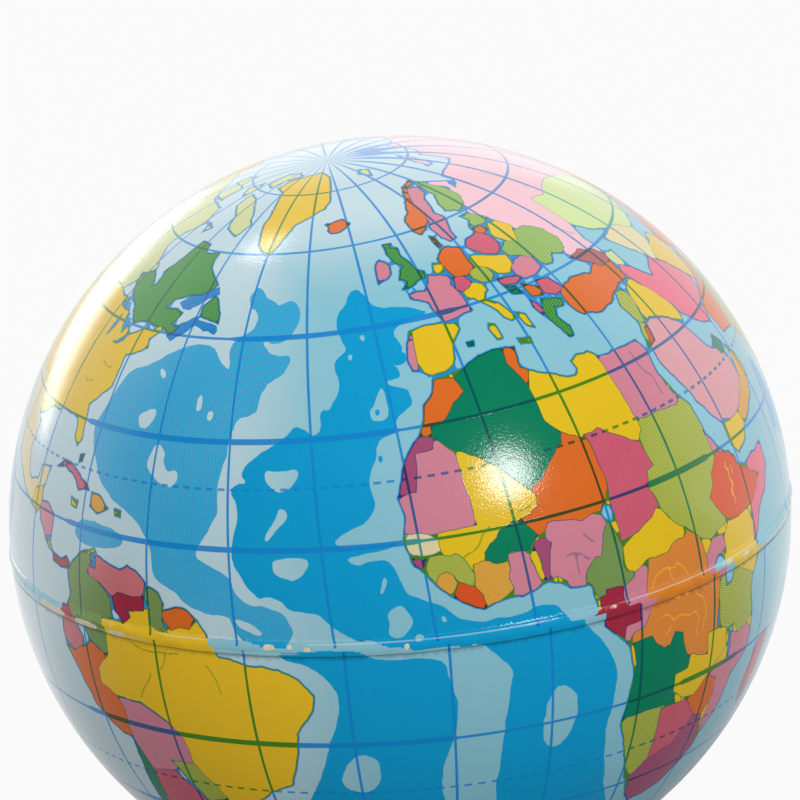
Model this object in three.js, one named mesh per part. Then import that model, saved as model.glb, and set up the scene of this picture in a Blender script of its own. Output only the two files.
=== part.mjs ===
// A soft foam stress ball with a map of the world on it, in millimetres, +Z up.
// The ball stands on the small flat at its south pole. The origin is the middle of that flat,
// and +Z runs through both poles, which is the way the two halves of its mould open.
// From the inside out: a foam core, a dense skin in two halves, a printed film in two halves,
// and the bead of foam that is pressed out where the halves meet on the equator.
import * as THREE from "three";

// Driving dimensions
const equatorDiameter = 70; // across the printed film
const poleToPole = 68; // before its flat: the ball is slightly squat
const filmThickness = 0.3;
const skinThickness = 1.1;
const layerClearance = 0.15; // between one layer and the next
const restFlatRadius = 5; // the patch that the ball stands on
const skinSeamGap = 0.8; // between the rims of the two skin halves
const beadWidth = 1.1; // along Z, between the rims of the two films
const beadHeight = 0.25; // how far the bead stands out from the film
const seamClearance = 0.15; // on each side of the bead and of its root

// Smoothness
const turnSteps = 48;
const arcSteps = 12; // from a pole to the equator
const crownSteps = 4; // across the bead

// Depths of the layers under the printed surface, and the places that follow from them
const filmInner = filmThickness;
const skinOuter = filmInner + layerClearance;
const skinInner = skinOuter + skinThickness;
const coreOuter = skinInner + layerClearance;
const equatorRadius = equatorDiameter / 2;
const poleRadius = poleToPole / 2;
const flatShare = restFlatRadius / equatorRadius;
const ballCentre = poleRadius * Math.sqrt(1 - flatShare ** 2);
const filmRim = beadWidth / 2 + seamClearance;
const skinRim = skinSeamGap / 2;
const rootHalf = skinRim - seamClearance;

// Finishes
const mapPrint = { color: 0x2a93c9, roughness: 0.32, metalness: 0 };
const creamSkin = { color: 0xe9dfc4, roughness: 0.6, metalness: 0 };
const creamFoam = { color: 0xf0e8d2, roughness: 0.95, metalness: 0 };
const creamBead = { color: 0xd9cfb4, roughness: 0.55, metalness: 0 };

// The height of a layer's own flat: every layer keeps its depth under the film there too.
const flatHeight = (depth) => depth - ballCentre;

// Points of the layer at this depth, from one height about the ball's centre to another.
function arc(depth, from, to) {
  const across = equatorRadius - depth;
  const up = poleRadius - depth;
  const start = Math.asin(from / up);
  const end = Math.asin(to / up);
  return Array.from({ length: arcSteps + 1 }, (_, i) => {
    const angle = start + ((end - start) * i) / arcSteps;
    return new THREE.Vector2(across * Math.cos(angle), up * Math.sin(angle));
  });
}

// The same arc up to the north pole, with its last point exactly on the axis.
function arcToPole(depth, from) {
  const points = arc(depth, from, poleRadius - depth);
  points[arcSteps].setX(0);
  return points;
}

// The lower half of a layer: over its flat and up to its rim, and back down inside.
function lowerShell(outer, inner, rim) {
  const outside = arc(outer, flatHeight(outer), -rim);
  const inside = arc(inner, flatHeight(inner), -rim).reverse();
  const outerPole = new THREE.Vector2(0, flatHeight(outer));
  const innerPole = new THREE.Vector2(0, flatHeight(inner));
  return [outerPole, ...outside, ...inside, innerPole];
}

// The upper half of a layer, which is round right over the north pole.
function upperShell(outer, inner, rim) {
  return [...arcToPole(inner, rim).reverse(), ...arcToPole(outer, rim)];
}

// The whole core, with its own flat at the bottom.
function coreProfile() {
  const flat = flatHeight(coreOuter);
  const below = arc(coreOuter, flat, 0);
  const above = arcToPole(coreOuter, 0).slice(1);
  return [new THREE.Vector2(0, flat), ...below, ...above];
}

// The bead: a thin root between the skin's rims, and a crowned cap between the film's rims.
function beadProfile() {
  const rootRadius = equatorRadius - skinInner;
  const capRadius = equatorRadius - filmInner;
  const half = beadWidth / 2;
  const crown = Array.from({ length: crownSteps + 1 }, (_, i) => {
    const across = (2 * i) / crownSteps - 1;
    const radius = equatorRadius + beadHeight * (1 - across ** 2);
    return new THREE.Vector2(radius, half * across);
  });
  return [
    new THREE.Vector2(rootRadius, -rootHalf),
    new THREE.Vector2(capRadius, -rootHalf),
    new THREE.Vector2(capRadius, -half),
    ...crown,
    new THREE.Vector2(capRadius, half),
    new THREE.Vector2(capRadius, rootHalf),
    new THREE.Vector2(rootRadius, rootHalf),
    new THREE.Vector2(rootRadius, -rootHalf),
  ];
}

// One piece: its profile turned about the polar axis.
function turned(name, profile, finish) {
  const geometry = new THREE.LatheGeometry(profile, turnSteps).rotateX(Math.PI / 2);
  const mesh = new THREE.Mesh(geometry, new THREE.MeshStandardMaterial(finish));
  mesh.name = name;
  return mesh;
}

const ball = new THREE.Group();
ball.add(
  turned("foam_core", coreProfile(), creamFoam),
  turned("skin_south", lowerShell(skinOuter, skinInner, skinRim), creamSkin),
  turned("skin_north", upperShell(skinOuter, skinInner, skinRim), creamSkin),
  turned("parting_bead", beadProfile(), creamBead),
  turned("print_film_south", lowerShell(0, filmInner, filmRim), mapPrint),
  turned("print_film_north", upperShell(0, filmInner, filmRim), mapPrint),
);
ball.position.z = ballCentre;

const part = new THREE.Group();
part.add(ball);

export default part;
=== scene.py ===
import math

import bpy
import numpy as np
from mathutils import Matrix, Vector, kdtree, noise
from mathutils.geometry import delaunay_2d_cdt


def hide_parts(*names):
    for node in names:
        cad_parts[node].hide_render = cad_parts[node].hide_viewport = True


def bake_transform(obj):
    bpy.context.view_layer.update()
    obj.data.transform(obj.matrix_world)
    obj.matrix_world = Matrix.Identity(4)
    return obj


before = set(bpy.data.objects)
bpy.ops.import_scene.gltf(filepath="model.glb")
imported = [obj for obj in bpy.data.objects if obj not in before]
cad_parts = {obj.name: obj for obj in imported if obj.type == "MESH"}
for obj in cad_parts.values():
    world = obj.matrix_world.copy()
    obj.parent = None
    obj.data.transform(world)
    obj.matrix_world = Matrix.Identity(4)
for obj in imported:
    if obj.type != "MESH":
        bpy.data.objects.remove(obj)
mm = 0.001

# The printed ball in mm: its radii, the height of its middle, one degree's length and its flat's radius
ball = dict(across=35.0, up=34.0, centre=33.651, degree=0.611, flat=5.0)

# Inks of the print, as they look under plain light. The first four are seas.
inks = dict(
    deep=(0, 158, 212),
    pale=(139, 197, 213),
    ruled=(10, 164, 214),
    royal=(16, 132, 200),
    yellow=(230, 192, 30),
    gold=(238, 194, 36),
    amber=(222, 160, 40),
    orange=(222, 108, 34),
    flame=(220, 84, 34),
    rust=(224, 132, 36),
    pink=(212, 132, 150),
    blush=(242, 192, 202),
    dusk=(220, 156, 164),
    rose=(232, 112, 136),
    salmon=(206, 108, 116),
    crimson=(206, 82, 108),
    wine=(164, 40, 66),
    mauve=(166, 78, 116),
    brick=(176, 92, 92),
    lime=(166, 178, 44),
    olive=(108, 146, 58),
    green=(44, 144, 44),
    meadow=(140, 180, 70),
    straw=(206, 212, 150),
    teal=(0, 128, 92),
    cream=(226, 212, 160),
    paleGreen=(206, 226, 150),
)
inkNames = list(inks)
seaInkCount = 4

# How strongly an ink is screened: with slanting lines up to 1.6, and with dots above it.
# The finish also tells the seas apart by these values.
screens = dict(
    deep=0.35, pale=0.2, ruled=0.9, lime=1.0, meadow=1.0, amber=0.6, rust=0.6, olive=1.0, pink=0.4,
    crimson=2.0, salmon=2.0, green=0.7,
)

# The map, painted in this order. Each point of an outline is its longitude and latitude in degrees,
# west and south of zero being negative. Seas and lands start with their ink.
seas = [
    # west Atlantic basin
    ("ruled", "-33.5 45.3, -32 47, -31.5 48.8, -32.8 50.5, -34.6 51, -37.3 50.2, -38.8 51, -41.2 51.7, "
     "-42.5 53, -44 53.8, -45.5 53, -46.3 51.7, -45 50, -43 49.5, -42.3 47.2, -43.5 46.2, -46 45.5, "
     "-48 43.5, -46.8 40.2, -48.7 40.8, -50.6 42.5, -52.5 44, -56.5 44, -59.5 43.3, -62.5 42.5, "
     "-67.5 40, -72 38.8, -74 36.5, -75.5 32.5, -77.5 29, -74.5 25.5, -72.5 22.8, -69.5 20.6, "
     "-64.5 18.9, -61.5 17, -59.8 15, -59 13, -58.8 10, -56.5 8.8, -54.5 7.8, -53.3 6.5, -50.3 5.3, "
     "-45.6 5.1, -45.4 3.8, -44.6 1.6, -42.5 .6, -39 .2, -37.4 .3, -36.8 1.2, -35.7 2.7, -36.3 4, "
     "-36.9 5.8, -38.7 6.3, -40 7, -41.7 6.6, -43.3 7.7, -44.7 8.9, -45 11, -47 12, -49.3 12.8, "
     "-51 13.6, -50.5 15, -48.3 17.8, -46.6 19.9, -47.2 22, -46.8 25, -45.5 27.8, -45 31, -44 33.3, "
     "-41.2 33.6, -40 34.6, -39.5 36.7, -37.9 38.3, -35 39.4, -33.9 41, -33.8 42.3, -36 42.2, "
     "-38.4 42.5, -39.7 43.7, -40 44.7, -37 44, -34.8 44.5"),
    # east Atlantic basin
    ("deep", "-23 48, -20.5 49, -19.5 51, -17.5 51.8, -16 51, -15 49.5, -13.5 48, -8 47.4, -4 46.4, "
     "-2 45.6, -8 45, -11.5 43.7, -10.5 42, -10.3 40.6, -13 39.4, -12 38.3, -12 37.3, -14 37, "
     "-15.3 36.6, -13 35.8, -11 35, -11 33, -13 32.5, -15 31, -15.2 29.6, -18.8 29, -19.2 26.5, "
     "-20.7 25, -21 23.2, -20.5 21, -21 19.7, -22.6 18.3, -25.3 17.2, -27.8 16.3, -27.8 15.5, -26 15, "
     "-21.5 15, -17.6 15.1, -20 14.2, -24 13.9, -26.3 13.5, -25.6 12.8, -24.2 12.5, -22.2 13, "
     "-20.3 13, -19.4 12, -18.8 10.4, -18.3 7.9, -17.2 7.3, -15 6.4, -12.4 5, -11.2 3.2, -7.9 2.5, "
     "-5.6 2.7, -3.5 2.4, -1.3 2.8, .3 3.4, 3.6 3, 4.4 1.5, 5.4 0, 5.8 -1.4, 8.3 -4, 10.2 -8, "
     "10.8 -11, 9 -20, 12 -30, 15 -36, 8 -44, -4 -44, -5 -36, -9 -28, -8 -18, -6.5 -8, -5.8 -5.5, "
     "-8.3 -3, -9.8 -.9, -13 -.9, -20 -.6, -22.5 .3, -24.8 1.5, -26.5 1, -27.3 2, -29.9 3.3, "
     "-30.5 4.1, -31.7 5.7, -34.2 6, -36.4 6.4, -36.8 7.6, -39 8.6, -40.5 7.9, -41.2 8.5, -43 10.5, "
     "-44 12.5, -44.7 15, -43.5 18.3, -43.3 21.6, -44.5 22.6, -44 24.4, -41.6 24.3, -43 25.6, "
     "-40.4 28.1, -37 29.3, -34 31, -32.7 32, -31 31.4, -29.5 30.4, -27.9 31.4, -28.2 34, -26.1 33.8, "
     "-25 35.4, -23.5 37.3, -24.8 39.8, -24.2 41, -21.5 42, -22.5 43.8, -23.2 45.5"),
    # south Atlantic, west
    ("deep", "-40 -.2, -39 -1.7, -36 -2.2, -33 -4, -31 -8, -34 -16, -38 -24, -44 -30, -50 -38, "
     "-54 -46, -40 -52, -22 -50, -18 -40, -16 -30, -18 -22, -14 -12, -15 -6, -16 -2, -24 -2, "
     "-26.5 -1.4, -27.5 -.1"),
    # Caribbean, Pacific and Indian oceans
    ("ruled", "-77 14, -75 16.6, -66.5 15.8, -64.5 14.8, -66 13.2, -70 12.6, -75 12.4"),
    ("deep", "-106 3, -103 9, -103 13, -106 17, -114 22, -121 30, -128 38, -129 46, -136 53, -150 56, "
     "-164 51, -182 50, -196 50, -202 42, -214 34, -222 24, -226 12, -218 4, -200 -4, -190 -14, "
     "-178 -28, -172 -44, -150 -56, -120 -58, -104 -54, -98 -44, -95 -30, -96 -20, -100 -12, -105 -4"),
    ("deep", "61 -3, 62 5, 63 11, 64 16, 66 20, 68 20, 72 10, 77 4, 82 6, 86 14, 90 12, 94 4, 100 -6, "
     "112 -12, 112 -24, 110 -34, 120 -42, 110 -54, 80 -52, 60 -44, 40 -42, 40 -34, 50 -27, 57 -18, "
     "54 -12, 58 -8"),
]
shoals = [
    "-64.5 40, -62.3 39.2, -62 38.2, -63.5 38.4",
    "-66 33, -62.5 34, -61.7 33, -62.7 31.3, -64.8 30.6, -65.8 31.5",
    "-53 36, -52 36.5, -51.8 34.5, -53 34",
    "-50.3 34.3, -49 34, -49.4 32.7, -50.5 33",
    ("-61.5 27.5, -60 29.3, -57.8 28, -58.3 26.6, -57 25.2, -55 25.8, -54.5 24.3, -56.5 22.9, "
     "-59.5 24, -61.8 25.8"),
    "-44.5 4.8, -42.5 4.2, -40.7 2.8, -41 2, -43 2.6, -44.8 3.8",
    "-38.3 26.2, -36 25.8, -33 26.3, -32.3 25.3, -34 23.6, -36 23, -37.8 23.8, -38.5 25",
    "-36 21, -34.8 20.5, -35.2 19, -37 18, -38.4 16.3, -39 16.6, -38.3 18, -37 19.5",
    "-37.8 14, -32.2 14, -32.3 12.8, -33.8 11, -35 10.6, -37.3 11.2, -38 12.3",
    "-21.2 10.8, -20.6 10, -21.8 8, -22.2 8.3",
    "-21.5 5.5, -19.3 6.4, -18.2 5, -17.8 3.6, -19.2 1.8, -20.7 1.2, -22 2, -21.4 3.6",
    "-18.5 1, -17.4 1.9, -16.5 1.2, -17.6 .4",
    "-13.7 4, -13 4, -13 3.2, -13.7 3.3",
    "-18.6 44, -17.2 44, -17.8 43",
    "-21.8 41.2, -20.4 41.4, -21.2 40.2",
    "-17 35.4, -15.8 36.2, -15.5 33.8, -16 32, -17.3 31.4, -18.8 31.9, -19.4 33, -18 33.8",
    "-180 10, -168 22, -154 22, -150 16, -166 6",
    "-140 -8, -128 -4, -112 -18, -108 -34, -122 -38, -134 -22",
    "-170 -12, -160 -10, -150 -20, -160 -26",
    "60 8, 66 12, 70 2, 68 -10, 60 -14, 56 -6",
    "74 4, 74 -8, 68 -24, 72 -34, 84 -30, 82 -12",
    "92 2, 90 -14, 94 -26, 98 -14",
    "-30 -16, -26 -18, -28 -24, -34 -22",
    "0 -8, 5 -12, 2 -20, -2 -18",
    "-44 -40, -34 -42, -32 -48, -42 -48",
]
deeps = [
    "-18.2 33.2, -17.4 33.3, -17.2 32.4, -18 32.3",
    "-19 26.9, -18.4 27.3, -18 26.4, -18.7 26",
    "-18 44.2, -18.6 45, -19 44.6",
    "-11 40.6, -9.8 40.3, -10.2 39, -12.4 38.8, -13 39.6, -12 40.4",
]
# Lands: an ink, then outlines
lands = [
    ("blush", "28.5 69.5, 33 69, 41 66.5, 38.5 64.5, 44 66, 44 68, 55 68.5, 68 68.5, 70 73, 80 73.5, "
     "100 77, 113 74, 130 71.5, 160 70, 180 69, 190 66.5, 188 64.5, 180 62.5, 165 60, 163 56, 157 51, "
     "155.5 57, 163 62, 150 59.5, 138 54.5, 141 52.5, 135 44, 131 43, 130 48, 120 53, 108 49.5, "
     "98 50.5, 87 49, 77 53.5, 70 55, 63 55, 58 54.5, 52 55.5, 50.5 52, 50 49, 48 46.5, 48.5 43.5, "
     "42 45.8, 39 45.5, 38 47, 40 49, 39 51, 34 53, 32 56, 28 59.5, 30 61, 31.5 62, 36 65.5, 30 68"),
    ("blush", "52 71, 57 70.8, 68 76.8, 60 75.8"),
    ("straw", "11 79, 20 80.3, 26 79, 18 76.7"),
    ("straw", "-95 49, -92 51, -93 52.5, -87 53.8, -94.5 58, -94 61, -88 64.5, -94 68, -110 68, "
     "-128 70, -141 69.7, -141 60, -130 55, -123 49"),
    ("straw", "-64 63.5, -61 66.5, -68 70.3, -78 73, -86 73.5, -84 70, -76 68, -72 65"),
    ("straw", "-62 82.3, -75 83, -90 81.5, -87 77, -78 76.5, -76 79"),
    ("straw", "-116 73, -105 73, -102 69, -115 68.5"),
    ("straw", "-125 74, -118 76, -112 73, -122 71.5"),
    ("straw", "-95 77, -100 74, -92 72, -90 75"),
    ("straw", "-86 65, -81 64, -84 62.8"),
    ("yellow", "-141 69.7, -157 71, -166 68, -165 60.5, -158 57, -165 54.5, -152 58, -141 60"),
    ("yellow", "-67 47, -69 44.8, -71.3 43.6, -70.3 42.2, -73.5 41, -76 40.4, -76.2 38, -76 35.7, "
     "-78 34.3, -81 32, -80.3 30, -79.6 27.2, -80.6 25.9, -81.8 27, -83 29.8, -85 30, -89 30, "
     "-91 29.3, -94 29.5, -97 27.5, -99.5 27, -101.5 29.7, -104.5 29.6, -106.5 31.7, -111 31.3, "
     "-117 32.5, -120.5 34.5, -124 40, -124.3 47, -122 49, -95 49, -92 48.2, -88.5 48.2, -84.5 46.5, "
     "-82.5 45.3, -79 43.5, -76 44.5, -75 45, -71.5 45, -70 46.5"),
    ("royal", "-66.6 44.6, -64.4 46.6, -61 48, -59 48.4, -59.4 46.6, -61.4 45.4, -65 43.8"),
    ("royal", "-68 50, -64 52.4, -57 53.4, -55.8 52.2, -59 51.2, -61 50.2, -63.5 49, -65.5 49.2"),
    ("royal", "-59.4 47.8, -55.8 47.4, -53.2 47, -52.6 46.2, -53.2 45.5, -55 46, -57.4 46.2, "
     "-59.6 46.8"),
    ("green", "-92 51, -93 52.3, -87 53.8, -83.5 52.3, -83 54, -81 56, -79 59, -78 61.5, -73 61.2, "
     "-71 59.3, -65.5 59.8, -64 56.8, -60.5 55.2, -58 53.7, -60 52.3, -62.5 51.8, -66 51.5, -70 50.3, "
     "-71.5 48.8, -67.5 49, -65 48.5, -66.5 46.6, -64 46.2, -66 44.6, -68.5 46, -72 45.7, -77 46, "
     "-79.5 45, -84 47.6, -88 49"),
    ("pale", "-83.6 53.8, -82 54.2, -81.5 51.8, -83.4 51.6"),
    ("green", "-59.6 50, -57 52, -55.5 51.4, -53.5 49, -53 47.3, -56.5 47.9, -59.4 48.4"),
    ("deep", "-90 47.2, -86 48, -84.6 46.6, -88 46.8"),
    ("deep", "-87.5 42, -86.4 45.8, -85.6 44"),
    ("deep", "-84 45.8, -81 45.6, -82 43.4"),
    ("deep", "-83 41.7, -79 43.2, -79.5 42.2"),
    ("cream", "-117 32.5, -111 31.3, -106.5 31.7, -104.5 29.6, -101.5 29.7, -99.5 27, -97.2 26, "
     "-97.8 22, -96 19, -94 18.2, -91.5 18.7, -90.5 21, -87 21.6, -88 18.3, -91 17.5, -92 14.5, "
     "-96 15.8, -105 20, -107 24, -112 29.5, -114.5 31.5, -112 28, -110 23.5, -113 27"),
    ("pink", "-89 15.8, -86 16.3, -83.3 15.2, -83.4 11.5, -85.5 11.3, -87.5 13"),
    ("lime", "-85.7 11.2, -83.6 11, -82.6 9.2, -84 9.5"),
    ("wine", "-82.8 9.4, -80 9, -78.5 9.7, -77.3 8.2, -80 7.4, -82.6 8.2"),
    ("yellow", "-88 15.6, -88.4 18.4, -91.5 17.2, -92 14.7, -89.5 13.8"),
    ("crimson", "-85 22.2, -83 23.4, -80.5 23.4, -77.5 22.2, -75 21, -74.2 20.4, -77 20.2, -78.5 21.4, "
     "-82 22.4"),
    ("amber", "-73.5 20.3, -71.5 20.1, -68.8 18.7, -70.5 18, -71.5 17.6, -73.2 18.2"),
    ("yellow", "-67.5 18.8, -65.9 18.8, -65.8 17.8, -67.2 17.8"),
    ("yellow", "-78.6 18.8, -76.6 18.5, -76.8 17.4, -78.4 17.7"),
    ("teal", "-78.8 24.8, -77.6 25.4, -77.6 24.2, -78.4 23.8"),
    ("yellow", "-44 59.9, -47.5 60.4, -50.5 62, -52.5 64.5, -54 67, -54 69.5, -56 72, -60 75.5, "
     "-70 77, -68 80, -50 82.5, -30 83.5, -18 81, -19 77, -21 72, -24 70, -32 68, -38 66.3, -41 63"),
    ("orange", "-24.5 65.6, -20 66, -16.5 66.4, -14 65, -15.5 64.2, -18.5 63.3, -21.5 63.3, -23 64, "
     "-22.5 64.8"),
    # South America
    ("gold", "-70 1.5, -66 1.8, -64 4.2, -60 4.6, -57 2.2, -54.5 2.4, -52.8 2.4, -51.3 4.2, -50 1.8, "
     "-49.6 -.6, -49 -1.6, -44.5 -2.6, -40 -2.9, -37 -4.8, -35 -7, -35.5 -9.5, -38.5 -13, -39 -17, "
     "-41 -22, -45 -23.5, -48.5 -26, -50 -30, -53.5 -33.7, -57.5 -30, -54 -26, -55 -24, -58 -20, "
     "-58 -16, -60 -13.5, -65 -11, -70 -11, -73 -9.5, -73 -7, -70 -4.2, -69.8 0"),
    ("olive", "-77.5 8.7, -75 11.2, -72 12, -72.3 10.3, -73 8.5, -70.3 7, -68.8 6.2, -67.8 5.5, "
     "-67.6 3.8, -67.6 1.8, -70 1.2, -69.8 0, -69.9 -4.2, -71.5 -4, -74 -2.8, -75.4 -.3, -77.8 .4, "
     "-79 1.4, -77.5 4, -78.3 7"),
    ("yellow", "-74 11.2, -71.5 12.5, -71 12, -72.6 11.2"),
    ("wine", "-67.4 5.6, -66 6.3, -60.8 6.4, -61 4, -63.3 3.8, -64.5 4, -63.8 2.7, -65.5 1.5, -67 3.5"),
    ("salmon", "-72.3 10.3, -71.3 11.3, -70 11.4, -68 10.5, -65.5 10.2, -64 11, -62 10.3, -60.2 8.6, "
     "-60.8 6.4, -66 6.3, -67.4 5.6, -70.3 7, -73 8.5"),
    ("deep", "-72.2 11, -71.5 11.2, -71.3 9.4, -72 9.4"),
    ("olive", "-60.2 8.3, -58 7.8, -57 6, -57.5 5, -57.7 3.3, -57 1.8, -56.6 1, -58.5 1.2, -59.9 2.4, "
     "-59.8 4.5, -60.8 6"),
    ("orange", "-57.5 5, -55 5.8, -53 5.5, -51.5 4.2, -52.8 2.2, -54.5 2.4, -56 1.8, -57.7 3.3"),
    ("wine", "-80 1.4, -78.6 1.3, -77.4 .4, -76 -.4, -80.6 -.4"),
    ("salmon", "-80.6 -.4, -77.2 -.4, -75.6 -2.7, -76 -4.5, -78.5 -5.5, -80.6 -4.5, -81 -2.5"),
    ("orange", "-76 -4.4, -73.8 -2.9, -71.5 -4, -69.9 -4.2, -73 -7, -73 -9.5, -70 -11, -69 -13, "
     "-69.5 -17.5, -71.5 -17.5, -76 -14, -79 -8, -80.6 -5.2, -78.5 -5.5"),
    ("pink", "-70 -11, -65.3 -11, -60 -13.5, -58 -16, -58 -20, -62.5 -22, -68 -22.5, -69.5 -17.5, "
     "-69 -13"),
    ("lime", "-62.5 -20, -58 -20, -55 -24, -54 -26, -58.5 -27"),
    ("teal", "-69.5 -17.5, -68 -22.5, -69.5 -30, -71.5 -40, -73 -50, -68.5 -55.5, -75 -50, -73.5 -40, "
     "-71.5 -28"),
    ("crimson", "-68 -22.5, -62.5 -22, -58.5 -27, -54 -26, -57.5 -30, -58 -34, -57 -38, -62 -39, "
     "-65 -44, -67 -49, -68.5 -55, -73 -50, -71.5 -40, -69.5 -30"),
    ("yellow", "-57.5 -30, -53.5 -33.7, -56 -35, -58 -34"),
    # Europe
    ("pink", "-9 56, -7.3 55.7, -6.2 55, -6.6 53.4, -8.3 52.2, -11 51.6, -11 53, -10.4 55"),
    ("green", "-6 58.8, -3.3 58.6, -4 57.7, -2 57.5, -2.3 56, -1.5 54.8, -.2 53.4, .5 52.4, 1.4 52, "
     ".8 51, -1.2 50.8, -3.5 50.2, -6 50, -4 51.3, -5.5 51.9, -4.3 53.2, -3.2 54, -5 55, -6 56.8"),
    ("orange", "29 71, 28 70, 22 69.3, 18 67.5, 15.6 65.5, 15 62.5, 13.5 60.8, 9.2 58.9, 7.4 58.6, "
     "5.6 59.8, 6 62.2, 9.5 64, 12 65.6, 15 67.3, 16.5 68.3, 21 70"),
    ("pink", "28 68.7, 24.8 66.7, 21.2 65, 18 62, 20 60.5, 18.5 59, 17 57.5, 16.5 56, 14 55.8, "
     "12.5 57, 11.5 59, 13.5 60.8, 15 62.5, 15.6 65.5, 18 67.5, 22 69.3"),
    ("meadow", "28 70.3, 31.5 69.6, 33 67.5, 35 65.5, 34.8 63.3, 31.5 61.2, 27 60.3, 22.5 61.2, "
     "23 63.2, 27 65.3, 27 67, 28 68.7"),
    ("meadow", "24 59.3, 28 59.5, 30 58, 31.5 57, 28 56.2, 23 57, 25 58"),
    ("orange", "22.5 56.6, 26 56.4, 27.2 55, 24.5 54.6, 23 55.3"),
    ("yellow", "28 56.2, 32 56.2, 34.5 54.3, 33 52.6, 30.5 51.4, 27.4 52.5, 25.5 53.6, 27.2 55"),
    ("meadow", "33 53.2, 37.5 53, 41 51, 41.5 49, 39.8 47.2, 37.5 46.6, 35.5 47.5, 33 46, 31 46.3, "
     "29.5 48, 26.5 49.5, 24.5 50, 24.5 51.4, 27.4 52.5, 30.5 51.4"),
    ("crimson", "16.5 54, 18 55, 22.6 55.8, 25.3 54.3, 25.5 52.7, 24.5 51.3, 22.4 50.9, 18.8 51.7, "
     "17.2 52.9"),
    ("orange", "9.8 55, 12 55, 15 54.3, 14.4 52.8, 14.3 50.2, 12.5 49.3, 10.2 49.4, 8 49.9, 7.3 51, "
     "6.5 52.2, 6.7 53.6"),
    ("orange", "9.4 57.9, 10.6 57.6, 10.4 55.2, 9.3 55.2, 9 56.5"),
    ("yellow", "4.6 53.1, 6.8 52.6, 6.6 51, 4.6 51, 3.4 51.6"),
    ("yellow", "14.6 52, 16 52.2, 19.5 51.4, 24.4 50.3, 23.5 48.6, 21.5 47.4, 18 48, 17 49.4, "
     "14.4 50.2"),
    ("pink", "1.4 51.3, 4.6 50.9, 7.5 50.1, 5.8 48.7, 6.9 47.2, 7 45.8, 7.3 44.2, 3.5 43.7, 0 43.6, "
     "-1.2 45.5, -1.7 47, -4.9 48.4, -4.6 49.2, -3 49.3, -.8 48.8, .5 50"),
    ("crimson", "7.5 50.1, 10.2 49.4, 11 48.2, 9.6 47.4, 8 46.8, 6.2 47.8"),
    ("lime", "11 49.2, 12.5 49.8, 14.4 50.3, 17 49.6, 17.2 48.2, 15.5 47.3, 13 47.6"),
    ("yellow", "7.5 47.2, 9.8 47.6, 11 48.3, 12.9 47.6, 13.2 46.2, 11.4 45.3, 13.4 44, 14.4 42.8, "
     "15.2 41.3, 14 41, 12.3 42.2, 11.2 43.8, 9 45.8, 7.5 46"),
    ("yellow", "15.6 42.1, 17.4 41.2, 17.5 39, 16 40"),
    ("yellow", "12.5 38.5, 15.4 38.1, 15.3 37, 12.8 37.4"),
    ("yellow", "8.8 41.6, 10 41, 9.8 39, 8.6 39, 8.2 40.8"),
    ("teal", "2.6 40, 4 40.1, 3.8 39.2, 2.6 39.2"),
    ("pink", "24.5 49.2, 27.5 49.2, 29.5 48.2, 29.3 46.4, 26 45.6, 23 46, 22 47, 22.5 48.2"),
    ("crimson", "16.6 47.6, 22 46.9, 22.8 46, 20.6 45.7, 17 46.2"),
    ("teal", "17 46.2, 19.6 45.6, 20.2 43.9, 17.6 44.4"),
    ("orange", "21.2 45.6, 24.6 44.2, 24.2 42.6, 21.4 43.2"),
    ("crimson", "24.8 45.2, 28.5 44.6, 29.8 42.4, 27 42, 24.4 43"),
    ("crimson", "20.2 43.1, 21.2 42.2, 22.2 40.6, 21 39.9, 19.9 41.6"),
    ("green", "22.6 42.4, 25.5 42, 27.3 41.4, 26.6 40.4, 24.6 40.5, 23.6 39.3, 24.6 37.4, 24.2 36.1, "
     "23 36.2, 22.3 37.6, 21.4 39.3, 21.6 41"),
    ("yellow", "-8 43.4, -4 43.8, -1.6 43.7, 2.8 43.1, 2.4 42, 1 41, -.2 40.2, -.7 38.2, -1.6 37.3, "
     "-3.6 36.7, -6 36.4, -7.6 37.2, -8.4 38.4, -7.9 39.8, -7.4 42.6, -8.4 42.7"),
    ("pink", "-8.4 42.7, -7.4 42.6, -7.9 39.8, -8.4 37.4, -9.6 37.6, -9.9 39.6, -9.3 41.5"),
    ("orange", "33.2 43.3, 36 43, 39.5 42.5, 42 43.2, 47.4 42, 46.5 39.2, 43 39.2, 40.2 38.5, "
     "37.6 37.8, 35.6 37.4, 33.5 37.3, 31.5 37.9, 29.3 38, 27.5 39.9, 27.8 42, 30 42.8, 31.9 42.9"),
    ("brick", "38 45.5, 42 46, 46 45, 48.5 43.3, 47.4 42, 43.5 42.3, 42 43.2, 40 44.3"),
    ("straw", "48.5 43.5, 51 43, 51 40.8, 48 40.2, 47.4 42"),
    # Asia
    ("paleGreen", "52 55.5, 58 54.5, 63 55, 70 55, 77 53.5, 87 49, 82 45, 75 43, 68 42, 63 44.5, "
     "59 45, 52.5 47, 50 49, 50.5 52"),
    ("cream", "53 44.5, 59 45, 63 44.5, 68 42, 66 38.5, 61 37.8, 56 42"),
    ("yellow", "61.5 37.8, 66 39.5, 71 40, 75 37.5, 72 34, 69.5 31.4, 65.5 35"),
    ("orange", "65.5 30.8, 69.5 31.4, 72 34, 75 35, 73 30, 70 27.5, 68 24.3, 62 25.5, 61 29"),
    ("rose", "48.5 41, 50.8 40, 52.5 38.2, 54.5 37.1, 57 38.5, 59.3 39, 61.5 37.8, 65 35.2, 68 32.6, "
     "66 30.8, 62 30, 60 27.5, 56.5 28.6, 54 30.4, 52 31.6, 51.8 33, 50.5 35.2, 48.5 37.4, 47 39.4, "
     "47 40.3"),
    ("yellow", "47 39.2, 48.5 37.4, 50.5 35.2, 51.8 33, 51.9 31.6, 51 30.5, 47.8 32, 45 33.1, "
     "43.2 33.4, 41.5 33.1, 42.3 35.3, 43.3 37.2, 44.6 38.8"),
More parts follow.
